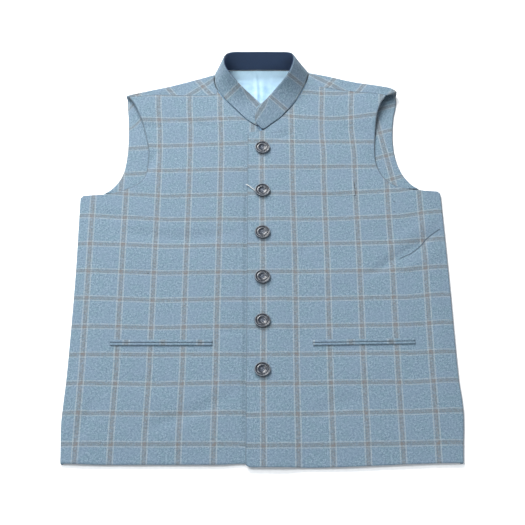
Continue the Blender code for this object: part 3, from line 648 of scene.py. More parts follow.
def shoulder_wrap(last, left):
    """The strip that goes on from the back's top row, round the shoulder fold and forward to the seam."""
    line, seam_line = SHOULDER_FOLD[left], SHOULDER_SEAM[left]
    neck, tip = (0, -1) if left else (-1, 0)
    run = np.subtract(line[-1], line[0])
    run = run / np.linalg.norm(run)
    normal = np.array([-run[1], run[0]])
    start_x, start_v = last[:, 0], last[:, 1]
    radius = (fold_height(start_x) + tip_lift(start_x, start_v - 15.0, left)) / 2.0
    out_radius = fold_height(start_x) / 2.0
    crest = across(line, start_x) - out_radius
    near_neck = 1.0 - smooth((np.abs(start_x) - NECK_HALF) / NECK_REACH)
    near_tip = smooth((np.abs(start_x) - TIP_FROM) / TIP_REACH)
    feet = COLLAR_RULINGS[:8] if left else COLLAR_RULINGS[:12:-1]
    foot_v = [foot[1] for foot, _ in feet]
    foot_x = [foot[0] for foot, _ in feet]

    def to_collar(x, v, share):
        """x moved so that the strip's inner end lies against the collar's foot."""
        meets = np.interp(v[neck], foot_v, foot_x)
        meets = meets + math.copysign(CURVE_GAP + SEAM_GAP, meets)
        return x + near_neck * (meets - x[neck]) * share

    strip, flat = [], []
    for angle in np.radians(np.linspace(-90.0, 90.0, 11)):
        out, up = out_radius * np.cos(angle), radius * np.sin(angle)
        x = to_collar(start_x, crest + out, 0.5 + 0.5 * np.sin(angle))
        x = x + np.sign(x) * TIP_BULGE * near_tip * np.cos(angle)
        strip.append(np.column_stack([x, crest + out, radius + up]))
        arc = out_radius * (angle + math.pi / 2.0)
        flat.append(np.column_stack([start_x + normal[0] * arc, crest + normal[1] * arc]))
    neck_x = SIGN[left] * NECK_HALF
    along_seam = (start_x - neck_x) / (line[tip][0] - neck_x)
    seam_x = seam_line[neck][0] + along_seam * (seam_line[tip][0] - seam_line[neck][0])
    seam_v = across(seam_line, seam_x)
    meeting = front_level(seam_x, seam_v, left) + tip_lift(seam_x, seam_v, left)
    for share in np.linspace(0.0, 1.0, 9)[1:]:
        v = crest + share * (seam_v - crest)
        x = to_collar(start_x + share * (seam_x - start_x), v, 1.0)
        rise = 0.5 * np.sin(x / 9.0 + 2.0 * share) * np.sin(math.pi * share)
        strip.append(np.column_stack([x, v, 2.0 * radius + share * (meeting - 2.0 * radius) + rise]))
        past = (crest - v) * normal[1] + (start_x - x) * normal[0]
        turned = 2.0 * past + math.pi * out_radius
        flat.append(np.column_stack([x + normal[0] * turned, v + normal[1] * turned]))
    strip[0] = last
    return np.array(strip), back_check(*np.moveaxis(flat, 2, 0))


def back_panel(cloth):
    """The back, flat on the floor, its shoulders carried over to the front."""
    low = heights_between([BACK_HEM, 60.0, 430.0, BACK_ARMHOLE_RIGHT[0][1]], BACK_STEP)
    body = len(low)
    edges = []
    for left in (False, True):
        v = np.concatenate([low[:-1], even_along(BACK_ARMHOLE[left], 48)])
        x = along(BACK_ARMHOLE[left], v)
        x[:body] = SIGN[left] * (side_edge(v[:body], left) - SIDE_SEAM_IN)
        edges.append(np.column_stack([x, v]))
    columns = 21
    neck = np.concatenate([[-77.0, -72.0], np.linspace(-68.0, 68.0, 19), [72.0, 77.0]])
    places = np.concatenate([
        np.linspace(SHOULDER_FOLD_RIGHT[0][0], -NECK_HALF, columns),
        neck,
        np.linspace(NECK_HALF, SHOULDER_FOLD_LEFT[-1][0], columns),
    ])

    def top(x):
        right, left = [across(line, x) - fold_height(x) / 2.0 for line in SHOULDER_FOLD]
        corner = smooth((np.abs(x) - NECK_CORNER) / (neck[-1] - NECK_CORNER))
        edge = NECK_EDGE - NECK_CORNER_DROP * corner
        return np.where(x <= -NECK_HALF + 0.01, right, np.where(x >= NECK_HALF - 0.01, left, edge))

    rows = loft(*edges, places, top, BACK_BEND_FROM)
    main = raised(rows, 0.0)
    patches = [
        (main, back_check(*np.moveaxis(rows, 2, 0))),
        shoulder_wrap(main[-1][:columns], False),
        shoulder_wrap(main[-1][-columns:], True),
    ]
    return shell("back_cloth", patches, WALL, cloth, faces_down=True, seams=(1, 2))


def side_curl(edge_column, left, pattern):
    """The front's cloth going round the side fold to its seam on the underside."""
    sign = SIGN[left]
    strip, flat = [], []
    for (x, v, z), (u, row) in zip(edge_column, pattern):
        points, places = [], []
        for angle in np.radians(np.linspace(90.0, -90.0, 8)):
            out, up = SIDE_CURL * np.cos(angle), SIDE_CURL * np.sin(angle)
            points.append((sign * (abs(x) + out), v, SIDE_CURL + up))
            places.append((u + sign * SIDE_CURL * (math.pi / 2.0 - angle) / REPEAT, row))
        points.append((sign * (abs(x) + SIDE_CURL - SIDE_SEAM_IN + SEAM_GAP), v, 0.0))
        places.append((places[-1][0] + sign * (SIDE_SEAM_IN - SIDE_CURL) / REPEAT, row))
        points[0] = (x, v, z)
        strip.append(points if left else points[::-1])
        flat.append(places if left else places[::-1])
    return np.array(strip), np.array(flat)


def shares_up(points):
    """How far up its outline each of a front's rows begins, from 0 to 1."""
    heights = even_along(points, 54)
    return (heights - heights[0]) / (heights[-1] - heights[0])


def with_marks(marks, even):
    """Shares from 0 to 1, leaving out those that come close to a mark, and the marks."""
    clear = np.array([min(abs(share - mark) for mark in marks) > 0.008 for share in even])
    return np.sort(np.concatenate([even[clear], marks]))


def neck_top(left):
    """Where a front's inner edge ends, at the shoulder seam."""
    return SHOULDER_SEAM[left][0 if left else -1][1] - SEAM_GAP


def front_patches(left, side_low, inner_low, marks, inner_edge, places, hem):
    """A front's main patch, how far its points are from the armhole's edge, and the curl at its side."""
    outline, seam_line, base = FRONT_ARMHOLE[left], SHOULDER_SEAM[left], SIDE_TOP[left]
    share = with_marks(marks, shares_up(outline))
    side_v = np.concatenate([side_low[:-1], base + share * (outline[-1][1] - base)])
    inner_v = np.concatenate([inner_low[:-1], base + share * (neck_top(left) - base)])
    body = len(side_low)
    side_x = along(outline, side_v)
    side_x[:body] = SIGN[left] * (side_edge(side_v[:body], left) - SIDE_CURL)
    side = np.column_stack([side_x, side_v])
    inner = np.column_stack([np.interp(inner_v, *inner_edge), inner_v])

    def seam(x):
        return across(seam_line, x) - SEAM_GAP - CURVE_GAP

    edges = (inner, side) if left else (side, inner)
    rows = loft(*edges, places, seam, base, hem)
    x, v = rows[:, :, 0], rows[:, :, 1]
    main = raised(rows, front_height(x, v, left))
    pattern = front_check(x, v, left)
    outer = -1 if left else 0
    curl = side_curl(main[:body, outer], left, pattern[:body, outer])
    edge_line = smooth_curve(outline[ARMHOLE_CORNER[left]:], CURVE_STEPS)
    return main, pattern, nearest_on(x, v, edge_line)[0], curl


def front_right_panel(cloth):
    """The wearer's right front, which runs under the other one at the closure."""
    low = heights_between([0.0, *LOW_MARKS, SIDE_TOP_RIGHT], FRONT_STEP)
    places = [
        -279.5, -276.0, -272.0, -267.0, *np.arange(-262.0, -35.0, FRONT_STEP),
        -34.0, -31.5, -29.5, -27.5, -25.5, -23.5, -21.0, -16.5, *np.arange(-11.0, 17.0, FRONT_STEP), OVERLAP,
    ]

    def hem(x):
        from_side = smooth((x - HEM_SAG_FROM) / HEM_SAG_SIDE_REACH)
        return -HEM_SAG * from_side * (1.0 - smooth((x - HEM_SAG_TO) / HEM_SAG_END_REACH))

    main, pattern, armhole, curl = front_patches(
        False, low, low, UNDER_MARKS, under_neck_edge(), places, hem
    )
    from_edge = np.minimum(np.dstack([armhole, np.full(armhole.shape, FAR)]), FAR)
    return shell("front_cloth_right", [(main, pattern, from_edge), curl], WALL, cloth, seams=(0,))


def collar_foot_outside(side):
    """The fronts' neck edge: the collar's foot moved out by the seam's gap, as (x, v) rising."""
    feet = np.array([foot[:2] for foot, _ in COLLAR_RULINGS])
    feet = feet[: len(feet) // 2] if side > 0 else feet[::-1][: len(feet) // 2]
    feet = feet[feet[:, 1] < 690.0]
    fine = smooth_curve(feet, 6)
    way = np.gradient(fine, axis=0)
    way /= np.linalg.norm(way, axis=1)[:, None]
    outward = np.column_stack([way[:, 1], -way[:, 0]]) * side
    return fine + outward * (SEAM_GAP + CURVE_GAP)


def under_neck_edge():
    """Heights and x of the right front's inner edge, from the closure up the neck."""
    neck = collar_foot_outside(-1)
    v = np.concatenate([[0.0, UNDER_TOP, UNDER_TOP + 1.0], neck[:, 1]])
    x = np.concatenate([[OVERLAP, OVERLAP, -3.0], neck[:, 0]])
    return v, x


def over_neck_edge():
    """Heights and x of the left front's inner edge, from the closure up the neck."""
    neck = collar_foot_outside(1)
    v = np.concatenate([[HEM_DIP, OVER_TOP], neck[:, 1] - CURVE_GAP])
    x = np.concatenate([[-OVER_EDGE, -OVER_EDGE], neck[:, 0]])
    return v, x


def front_left_panel(cloth):
    """The wearer's left front, which lies over the other one and carries the buttons."""
    base = SIDE_TOP_LEFT
    low_side = heights_between([HEM_SIDE_LEFT, *LOW_MARKS, base], FRONT_STEP)
    low_inner = heights_between([HEM_DIP + HEM_CORNER_RISE, *LOW_MARKS, base], FRONT_STEP)
    low_side = np.insert(low_side, 1, (low_side[0] + low_side[1]) / 2.0)
    marks = [(height - base) / (neck_top(True) - base) for height in (OVER_TOP, OVER_NECK_START)]
    places = [
        -OVER_EDGE, -22.0, -20.0, -17.5, -14.0, *np.arange(-10.0, 262.0, FRONT_STEP),
        267.0, 272.0, 276.0, 279.5,
    ]

    def hem(x):
        corner = np.clip((x + OVER_EDGE) / HEM_CORNER, 0.0, 1.0)
        out = (x - CLOSURE_OUTER) / (HALF_WIDTH_LEFT[0][0] - CLOSURE_OUTER)
        dip = HEM_DIP + (HEM_SIDE_LEFT - HEM_DIP) * smooth(out)
        return dip + HEM_CORNER_RISE * (1.0 - np.sqrt(1.0 - (1.0 - corner) ** 2))

    main, pattern, armhole, curl = front_patches(
        True, low_side, low_inner, marks, over_neck_edge(), places, hem
    )
    x, v = main[:, :, 0], main[:, :, 1]
    closure = np.where(v < OVER_TOP, x + OVER_EDGE, FAR)
    from_edge = np.minimum(np.dstack([armhole, closure]), FAR)
    fold_x, fold_v = np.array(SHARP_FOLD).T
    far, place = nearest_on(x, v, np.array(SHARP_FOLD))
    aside = np.where(v > np.interp(x, fold_x, fold_v), far, -far)
    from_fold = np.dstack([np.clip(aside / FAR, -0.5, 0.5) + 0.5, place])
    patches = [(main, pattern, from_edge, from_fold), curl]
    return shell("front_cloth_left", patches, WALL, cloth, seams=(0,))


def collar_rows(inset):
    """Rows up the collar, each round the neck from end to end and moved inward, and their places."""
    feet = smooth_curve([foot for foot, _ in COLLAR_RULINGS], COLLAR_STEPS)
    tops = smooth_curve([top for _, top in COLLAR_RULINGS], COLLAR_STEPS)
    length = lengths_along(feet)
    from_end = np.minimum(length, length[-1] - length)
    keep = from_end >= COLLAR_TRIM
    feet, tops, from_end, length = feet[keep], tops[keep], from_end[keep], length[keep]
    corner = np.clip(from_end / COLLAR_CORNER, 0.0, 1.0)
    reach = np.sqrt(1.0 - (1.0 - corner) ** 2)
    rise = (tops - feet) * reach[:, None]
    shares = np.linspace(0.0, 1.0, COLLAR_ROWS)
    turned = COLLAR_TIP_ROUND * (1.0 - smooth((length - COLLAR_TRIM) / COLLAR_TIP_REACH))
    rows = np.array([feet + (share + turned * (1.0 - share))[:, None] * rise for share in shares])
    inward = np.cross(np.gradient(rows, axis=1), np.gradient(rows, axis=0))
    inward /= np.linalg.norm(inward, axis=2)[:, :, None]
    if inward[0, len(feet) // 2, 1] > 0:
        inward = -inward
    up = np.linalg.norm(rise, axis=1)[None, :] * shares[:, None]
    return rows + inset * inward, length, up


def collar_check(length, up):
    """The check's own coordinates on the collar: bands across it, and one along its top edge at the tips."""
    known_at, known_u = [], []
    for k, place in enumerate(COLLAR_BANDS):
        known_at += [place - BAND_REACH, place + BAND_REACH]
        known_u += [k - BAND_REACH / REPEAT, k + BAND_REACH / REPEAT]
    slant = COLLAR_SLANT * (up / COLLAR_SLANT_HEIGHT - 0.5)
    tilt = np.where(length < COLLAR_MIDDLE, -1.0, 1.0)
    u = np.interp(length, known_at, known_u)[None, :] + slant * tilt[None, :] / COLLAR_REPEAT
    stripe = np.interp(length, *np.transpose(COLLAR_STRIPE))
    return np.dstack([u, (up - stripe[None, :]) / REPEAT])


def collar_and_facing(cloth, navy):
    """The stand collar and the facing inside it."""
    rows, length, up = collar_rows(0.0)
    outer = shell("collar_cloth", [(rows, collar_check(length, up))], COLLAR_WALL, cloth)
    rows, length, up = collar_rows(COLLAR_WALL + SEAM_GAP)
    along_it = np.broadcast_to(length / REPEAT, up.shape)
    inner = shell("collar_felt", [(rows, np.dstack([along_it, up / REPEAT]))], LINING_WALL, navy)
    return outer, inner


def back_lining(satin):
    """The lining of the back, as far as the neck shows it, with its pleat and slack folds."""
    top = LINING_HALF_WIDTHS[-1][0]
    heights = np.concatenate([np.arange(LINING_HALF_WIDTHS[0][0], 700.0, 3.0), [701.0, 703.0, top]])
    half = np.interp(heights, *np.transpose(LINING_HALF_WIDTHS))[:, None]
    x = half * np.linspace(-1.0, 1.0, 49)[None, :]
    v = np.broadcast_to(heights[:, None], x.shape)
    base = WALL + SEAM_GAP + LINING_WALL
    z = np.full(x.shape, base)
    for line, depth, width in LINING_FOLDS:
        z = z + crease(x, v, line, depth, width)
    inside = smooth((half - np.abs(x)) / 8.0) * smooth((top - v) / 6.0)
    z = base + np.maximum(z - base, 0.0) * inside
    pattern = np.dstack([x / REPEAT, v / REPEAT])
    return shell("back_lining_satin", [(np.dstack([x, v, z]), pattern)], LINING_WALL, satin)


def facing_check(x, v, left):
    """The check's own coordinates on the strip inside an armhole, where it lies aslant."""
    if left:
        stripe = x - 194.0 + 0.171 * (v - 532.0)
        row = v - 530.0 - 0.35 * (x - 193.0)
        return np.dstack([stripe / REPEAT, row / REPEAT])
    slope = 0.05 + 1.4 * smooth((v - 560.0) / 40.0)
    return np.dstack([(x + 171.0) / REPEAT, (v - 545.0 - slope * (x + 200.0)) / 50.0])


def armhole_facing(word, left, cloth):
    """A strip of the check cloth inside a back armhole."""
    base, top = FACING_ENDS[left]
    v = heights_between([base, 480.0, 510.0, top], 4.0)
    edge = along(BACK_ARMHOLE[left], v)
    hidden = np.abs(along(FRONT_ARMHOLE[left], v)) - FACING_HIDDEN
    inner = SIGN[left] * np.minimum(hidden, np.abs(edge) - FACING_LEAST)
    ends = np.sort(np.column_stack([edge - SIGN[left] * FACING_IN, inner]), axis=1)
    share = np.linspace(0.0, 1.0, 11)
    x = ends[:, :1] + (ends[:, 1:] - ends[:, :1]) * share[None, :]
    v = np.broadcast_to(v[:, None], x.shape)
    swell = np.sin(math.pi * share)[None, :]
    z = WALL + SEAM_GAP + LINING_WALL + swell * (FACING_SWELL + FACING_SWELL * np.sin(v / 17.0))
    patch = (np.dstack([x, v, z]), facing_check(x, v, left))
    return shell(f"armhole_facing_cloth_{word}", [patch], LINING_WALL, cloth)


def strip_on_front(
    name, corners, left, wall, cloth, rows, columns, pattern, roll,
    clear=SEAM_GAP, open_end=0.0, seam_sink=0.0,
):
    """A narrow piece sewn on a front, made from the front's own height moved out and rounded across.

    Its last end may stand open, and its lower edge may be drawn down into the seam.
    """
    a, b, c, d = [np.array(p) for p in corners]
    t = np.linspace(0.0, 1.0, columns)[:, None]
    low, high = a + t * (b - a), d + t * (c - d)
    shares = np.linspace(0.0, 1.0, rows)
    grid = np.array([low + s * (high - low) for s in shares])
    x, v = grid[:, :, 0], grid[:, :, 1]
    height = front_height(x, v, left) + clear + wall
    height = height + roll * np.sin(math.pi * shares)[:, None]
    opened = smooth((t[:, 0] - OPEN_FROM) / OPEN_REACH)
    height = height + open_end * opened[None, :] * (0.4 + 0.6 * shares)[:, None]
    sunk = (1.0 - smooth(shares / 0.3))[:, None] * (1.0 - 0.7 * opened)[None, :]
    height = height - seam_sink * sunk
    return shell(name, [(raised(grid, height), pattern(x, v))], wall, cloth)


def pocket_welts(cloth):
    """Two narrow welts at each hip pocket and the deeper welt on the chest."""
    made = []
    for word, left, slope in (("left", True, POCKET_SLOPE_LEFT), ("right", False, POCKET_SLOPE_RIGHT)):
        rise = slope * (POCKET_OUTER - POCKET_INNER)
        inner, outer = SIGN[left] * POCKET_INNER, SIGN[left] * POCKET_OUTER
        half_gap = SEAM_GAP / 2.0

        def pattern(x, v, left=left):
            stripe, repeat = WELT_STRIPE[left]
            return np.dstack([(x - stripe) / repeat, WELT_ROW + (v - POCKET_LINE) / REPEAT])

        for level, low, high in (("upper", half_gap, UPPER_WELT), ("lower", -LOWER_WELT, -half_gap)):
            ends = [(inner, POCKET_LINE + low), (outer, POCKET_LINE + low + rise)]
            ends += [(outer, POCKET_LINE + high + rise), (inner, POCKET_LINE + high)]
            if not left:
                ends = [ends[1], ends[0], ends[3], ends[2]]
            name = f"pocket_welt_{level}_{word}"
            piece = strip_on_front(f"{name}_cloth", ends, left, WELT_WALL, cloth, 4, 39, pattern, 0.5)
            made.append((name, piece))

    piece = strip_on_front(
        "breast_welt_cloth", BREAST_WELT, True, BREAST_WALL, cloth, 12, 48,
        lambda x, v: front_check(x, v, True), 0.1, clear=0.1, open_end=1.8, seam_sink=0.62,
    )
    return made + [("breast_welt", piece)]


def ground(name, half, material):
    """A large flat floor."""
    mesh = bpy.data.meshes.new(name)
    cage = bmesh.new()
    bmesh.ops.create_grid(cage, x_segments=4, y_segments=4, size=half)
    cage.to_mesh(mesh)
    cage.free()
    return placed(name, mesh, material)


def button_height(r, angle, turn):
    """Height of a button's top at a radius and an angle: rim, groove, inner ring, dish and four holes."""
    z = BUTTON_HEIGHT + np.interp(r / BUTTON_RADIUS, *np.transpose(BUTTON_PROFILE))
    reach = HOLE_OFFSET * math.sqrt(2.0)
    for k in range(4):
        a = turn + math.pi / 4.0 + k * math.pi / 2.0
        far = np.hypot(r * np.cos(angle) - reach * math.cos(a), r * np.sin(angle) - reach * math.sin(a))
        z = z - HOLE_DEPTH * (1.0 - smooth((far - 0.55 * HOLE_RADIUS) / (0.75 * HOLE_RADIUS)))
    return z


def threads_along(name, paths, radius, material):
    """Round thread along each path, given as plan points."""
    curve = bpy.data.curves.new(name, "CURVE")
    curve.dimensions = "3D"
    curve.bevel_depth = radius * MM
    curve.bevel_resolution = 2
    for path in paths:
        spline = curve.splines.new("POLY")
        spline.points.add(len(path) - 1)
        for corner, p in zip(spline.points, to_frame(path)):
            corner.co = (*p, 1.0)
    return placed(name, curve, material)


def button(index, centre, horn):
    """A turned button with four holes."""
    turn = BUTTON_TURNS[index]
    angles = np.arange(BUTTON_SIDES) * 2.0 * math.pi / BUTTON_SIDES
    radii = [*np.linspace(0.3, 4.4, 17), *np.linspace(4.8, BUTTON_RADIUS, 20)]
    rings = [(r, button_height(r, angles, turn)) for r in radii]
    rings += [(share * BUTTON_RADIUS, np.full(BUTTON_SIDES, z)) for share, z in BUTTON_UNDER]
    mesh = bpy.data.meshes.new(f"button_horn_{index + 1}")
    cage = bmesh.new()
    disc = cage.loops.layers.uv.new("disc")
    corners = []
    for r, heights in rings:
        ring = [(r * math.cos(a), r * math.sin(a), z) for a, z in zip(angles, heights)]
        corners.append([cage.verts.new(p) for p in to_frame(np.array(ring) + centre)])
    top_z = float(button_height(np.array(0.0), np.array(0.0), turn))
    middle = cage.verts.new(to_frame(centre + (0.0, 0.0, top_z)))
    under = cage.verts.new(to_frame(centre))
    turns = [(j, (j + 1) % BUTTON_SIDES) for j in range(BUTTON_SIDES)]
    for inner, outer in zip(corners, corners[1:]):
        for j, k in turns:
            cage.faces.new((inner[j], outer[j], outer[k], inner[k]))
    for j, k in turns:
        cage.faces.new((middle, corners[0][j], corners[0][k]))
        cage.faces.new((under, corners[-1][k], corners[-1][j]))
    for face in cage.faces:
        for loop in face.loops:
            across_it = (np.array(loop.vert.co) - to_frame(centre)) / (BUTTON_RADIUS * MM)
            loop[disc].uv = across_it[:2] * 0.5 + 0.5
    cage.to_mesh(mesh)
    cage.free()
    mesh.shade_smooth()
    return placed(mesh.name, mesh, horn)


def button_thread(index, centre, thread):
    """The thread that sews a button on: two strands through each pair of holes."""
    turn = BUTTON_TURNS[index]
    paths = []
    for side in (-1.0, 1.0):
        for strand in (-STRAND_OFFSET, STRAND_OFFSET):
            path = []
            for t in np.linspace(-1.0, 1.0, 9):
                x, y = t * HOLE_OFFSET, side * HOLE_OFFSET + strand
                z = THREAD_LOW + (THREAD_HIGH - THREAD_LOW) * math.sqrt(max(0.0, 1.0 - abs(t) ** 3))
                turned_x = x * math.cos(turn) - y * math.sin(turn)
                path.append((turned_x, x * math.sin(turn) + y * math.cos(turn), z))
            paths.append(np.array(path) + centre)
    return threads_along(f"button_thread_{index + 1}", paths, STRAND_RADIUS, thread)


class Graph:
    """Short names for building a material's nodes."""

    def __init__(self, name):
        self.material = bpy.data.materials.new(name)
        self.material.use_nodes = True
        self.nodes = self.material.node_tree.nodes
        self.links = self.material.node_tree.links
        self.shader = self.nodes["Principled BSDF"]

    def value(self, socket, given):
        """A node's output is linked, and a number or a colour is set."""
        if isinstance(given, bpy.types.NodeSocket):
            self.links.new(given, socket)
        else:
            socket.default_value = (*given, 1.0) if isinstance(given, tuple) else given

    def math(self, operation, a, b=0.0):
        node = self.nodes.new("ShaderNodeMath")
        node.operation = operation
        self.value(node.inputs[0], a)
        self.value(node.inputs[1], b)
        return node.outputs[0]

    def plus(self, a, b):
        return self.math("ADD", a, b)

    def minus(self, a, b):
        return self.math("SUBTRACT", a, b)

    def times(self, first, *others):
        for other in others:
            first = self.math("MULTIPLY", first, other)
        return first

    def apart(self, a, b):
        """How far two numbers are apart."""
        return self.math("ABSOLUTE", self.minus(a, b))

    def distance(self, a, b):
        """The length of a step of a to one side and b ahead."""
        return self.math("SQRT", self.plus(self.math("POWER", a, 2.0), self.math("POWER", b, 2.0)))

    def range(self, a, low, high, to_low=0.0, to_high=1.0):
        node = self.nodes.new("ShaderNodeMapRange")
        node.interpolation_type = "SMOOTHSTEP"
        for socket, given in zip(node.inputs, (a, low, high, to_low, to_high)):
            self.value(socket, given)
        return node.outputs[0]

    def mix(self, factor, a, b):
        node = self.nodes.new("ShaderNodeMix")
        node.data_type = "RGBA"
        self.value(node.inputs[0], factor)
        self.value(node.inputs[6], a)
        self.value(node.inputs[7], b)
        return node.outputs[2]

    def layers(self, colour, table):
        """The colour with others laid over it, each by how strong it is there."""
        for factor, over in table:
            colour = self.mix(factor, colour, over)
        return colour

    def noise(self, vector, scale, detail=2.0, roughness=0.5):
        node = self.nodes.new("ShaderNodeTexNoise")
        self.value(node.inputs["Vector"], vector)
        node.inputs["Scale"].default_value = scale
        node.inputs["Detail"].default_value = detail
        node.inputs["Roughness"].default_value = roughness
        return node.outputs[0]

    def stretched(self, vector, *sizes):
        node = self.nodes.new("ShaderNodeMapping")
        self.value(node.inputs["Vector"], vector)
        node.inputs["Scale"].default_value = sizes
        return node.outputs[0]

    def uv(self, name="check"):
        node = self.nodes.new("ShaderNodeUVMap")
        node.uv_map = name
        return node.outputs[0]

    def place(self):
        return self.nodes.new("ShaderNodeTexCoord").outputs["Object"]

    def parts(self, vector):
        node = self.nodes.new("ShaderNodeSeparateXYZ")
        self.value(node.inputs[0], vector)
        return node.outputs

    def surface(self, colour, roughness, sheen=0.0, specular=0.5):
        """The shader's colour and roughness, and its own constants."""
        inputs = self.shader.inputs
        self.value(inputs["Base Color"], colour)
        self.value(inputs["Roughness"], roughness)
        inputs["Sheen Weight"].default_value = sheen
        inputs["Specular IOR Level"].default_value = specular
        return self.material

    def bump(self, height, strength, distance):
        node = self.nodes.new("ShaderNodeBump")
        node.inputs["Strength"].default_value = strength
        node.inputs["Distance"].default_value = distance
        self.value(node.inputs["Height"], height)
        self.links.new(node.outputs[0], self.shader.inputs["Normal"])


def check_cloth():
    """Blue-grey cloth with a fleck, and a window check of grey-brown bands between pale lines."""
    g = Graph("check_cloth")
    uv = g.uv()
    u, v, _ = g.parts(uv)
    spots = g.noise(uv, 16.0, 3.0, 0.6)
    fleck = g.noise(uv, 33.0, 2.0, 0.55)
    slub_up = g.noise(g.stretched(uv, 34.0, 7.0, 1.0), 1.0, 3.0, 0.6)
    slub_across = g.noise(g.stretched(uv, 7.0, 34.0, 1.0), 1.0, 3.0, 0.6)
    slubs = g.plus(slub_up, slub_across)
    broad = g.noise(uv, 1.3, 3.0, 0.5)
    patch = g.noise(uv, 6.0, 2.0, 0.5)
    base = g.mix(g.range(spots, 0.36, 0.64), (0.088, 0.141, 0.192), (0.172, 0.246, 0.308))
    base = g.layers(base, [
        (g.range(fleck, 0.5, 0.72, 0.0, 0.68), (0.242, 0.312, 0.362)),
        (g.range(fleck, 0.5, 0.28, 0.0, 0.76), (0.060, 0.104, 0.156)),
        (g.range(slubs, 1.02, 1.34, 0.0, 0.5), (0.205, 0.272, 0.320)),
        (g.range(slubs, 0.98, 0.70, 0.0, 0.45), (0.088, 0.140, 0.192)),
        (g.range(patch, 0.40, 0.66, 0.0, 0.44), (0.116, 0.190, 0.230)),
        (g.range(broad, 0.40, 0.64, 0.0, 0.34), (0.140, 0.190, 0.264)),
    ])
    bands, lines, cores = [], [], []
    for axis in (u, v):
        phase = g.math("FRACT", g.plus(axis, 0.5))
        off = g.times(g.apart(phase, 0.5), REPEAT)
        bands.append(g.range(off, BAND_HALF, BAND_HALF + 1.1, 1.0, 0.0))
        cores.append(g.range(g.apart(off, CORE_OFF), 0.2, 0.9, 1.0, 0.0))
        lines.append(g.range(g.apart(off, LINE_OFF), 0.35, 1.15, 1.0, 0.0))
    wear = g.range(g.noise(uv, 11.0, 3.0, 0.65), 0.34, 0.62, 0.35, 1.08)
    wear_line = g.range(g.noise(uv, 19.0, 3.0, 0.65), 0.34, 0.62, 0.25, 1.0)
    upright = g.mix(g.range(spots, 0.36, 0.64), (0.108, 0.121, 0.132), (0.166, 0.184, 0.199))
    level = g.mix(g.range(fleck, 0.34, 0.66), (0.096, 0.112, 0.124), (0.157, 0.176, 0.190))
    core = g.times(g.math("MAXIMUM", *cores), g.range(patch, 0.36, 0.62, 0.08, 0.36))
    near_armhole, near_closure, _ = g.parts(g.uv("edge"))
    # Painted shade: a dark line along the armhole's edge and the closure's edge, standing in for the shadow
    # beside them
    painted_edge_shade = g.math(
        "MAXIMUM",
        g.range(near_armhole, 1.3 / FAR, 2.3 / FAR, 0.55, 0.0),
        g.range(near_closure, 1.0 / FAR, 2.0 / FAR, 0.40, 0.0),
    )
    # Painted shadow: a dark line along the sharp fold, fading towards its ends
    aside, along_fold, _ = g.parts(g.uv("fold"))
    painted_fold_shadow = g.range(g.apart(aside, 0.5), 0.5 / FAR, 1.5 / FAR, 0.85, 0.0)
    fold_shadow_ends = g.times(g.range(along_fold, 0.01, 0.12), g.range(along_fold, 0.99, 0.96))
    colour = g.layers(base, [
        (g.times(bands[0], wear, 0.72), upright),
        (g.times(bands[1], wear, 0.66), level),
        (core, (0.104, 0.104, 0.104)),
        (g.times(*bands, wear, 0.38), (0.150, 0.118, 0.106)),
        (g.times(lines[0], wear_line, 0.50), (0.330, 0.350, 0.350)),
        (g.times(lines[1], wear_line, 0.42), (0.325, 0.350, 0.352)),
        (painted_edge_shade, (0.050, 0.072, 0.094)),
        (g.times(painted_fold_shadow, fold_shadow_ends), (0.036, 0.056, 0.080)),
    ])
    place_x, place_y, _ = g.parts(g.place())
    for x, y, size, dark in SPECKS:
        far = g.distance(g.minus(place_x, x * MM), g.minus(place_y, y * MM))
        far = g.math("DIVIDE", far, size * MM)
        colour = g.mix(g.range(far, 0.5, 1.3, dark, 0.0), colour, (0.030, 0.040, 0.050))
    turns = 2.0 * math.pi * REPEAT / THREAD_PAIR
    weave = g.times(g.math("SINE", g.times(u, turns)), g.math("SINE", g.times(v, turns)))
    relief = g.plus(g.times(weave, 0.30), fleck)
    g.bump(g.plus(relief, g.times(slubs, 0.6)), 0.35, 0.0006)
    return g.surface(colour, g.range(fleck, 0.3, 0.7, 0.82, 0.94), sheen=0.12, specular=0.18)


def satin_lining():
    """Pale blue satin: smooth, with faint streaks along its weave, and with painted light towards the neck,
    where the collar's shadow falls.
    """
    g = Graph("satin_lining")
    uv = g.uv()
    cloud = g.noise(uv, 3.4, 3.0, 0.55)
    streak = g.noise(g.stretched(uv, 60.0, 4.0, 1.0), 1.0, 2.0, 0.5)
    height = g.times(g.parts(uv)[1], REPEAT)
    colour = g.mix(g.range(cloud, 0.34, 0.64), (0.220, 0.385, 0.560), (0.300, 0.480, 0.670))
    # Painted light: paler towards the neck, against the shadow the collar casts there
    colour = g.layers(colour, [
        (g.range(height, 660.0, 702.0), (0.600, 0.850, 1.0)),
        (g.range(streak, 0.4, 0.7, 0.0, 0.25), (0.42, 0.62, 0.80)),
    ])
    g.bump(g.plus(g.times(streak, 0.2), cloud), 0.25, 0.0012)
    return g.surface(colour, g.range(streak, 0.3, 0.7, 0.40, 0.50), sheen=0.10, specular=0.30)


def navy_felt():
    """Dark navy felt with a short nap and a little lint."""
    g = Graph("navy_felt")
    uv = g.uv()
    nap = g.noise(uv, 60.0, 4.0, 0.7)
    cloud = g.noise(uv, 3.0, 3.0, 0.5)
    colour = g.mix(g.range(nap, 0.3, 0.7), (0.016, 0.031, 0.070), (0.040, 0.070, 0.138))
    colour = g.mix(g.range(cloud, 0.4, 0.7, 0.0, 0.4), colour, (0.033, 0.060, 0.120))
    g.bump(nap, 0.5, 0.0006)
    return g.surface(colour, g.range(nap, 0.3, 0.7, 0.85, 0.97), sheen=0.25, specular=0.15)


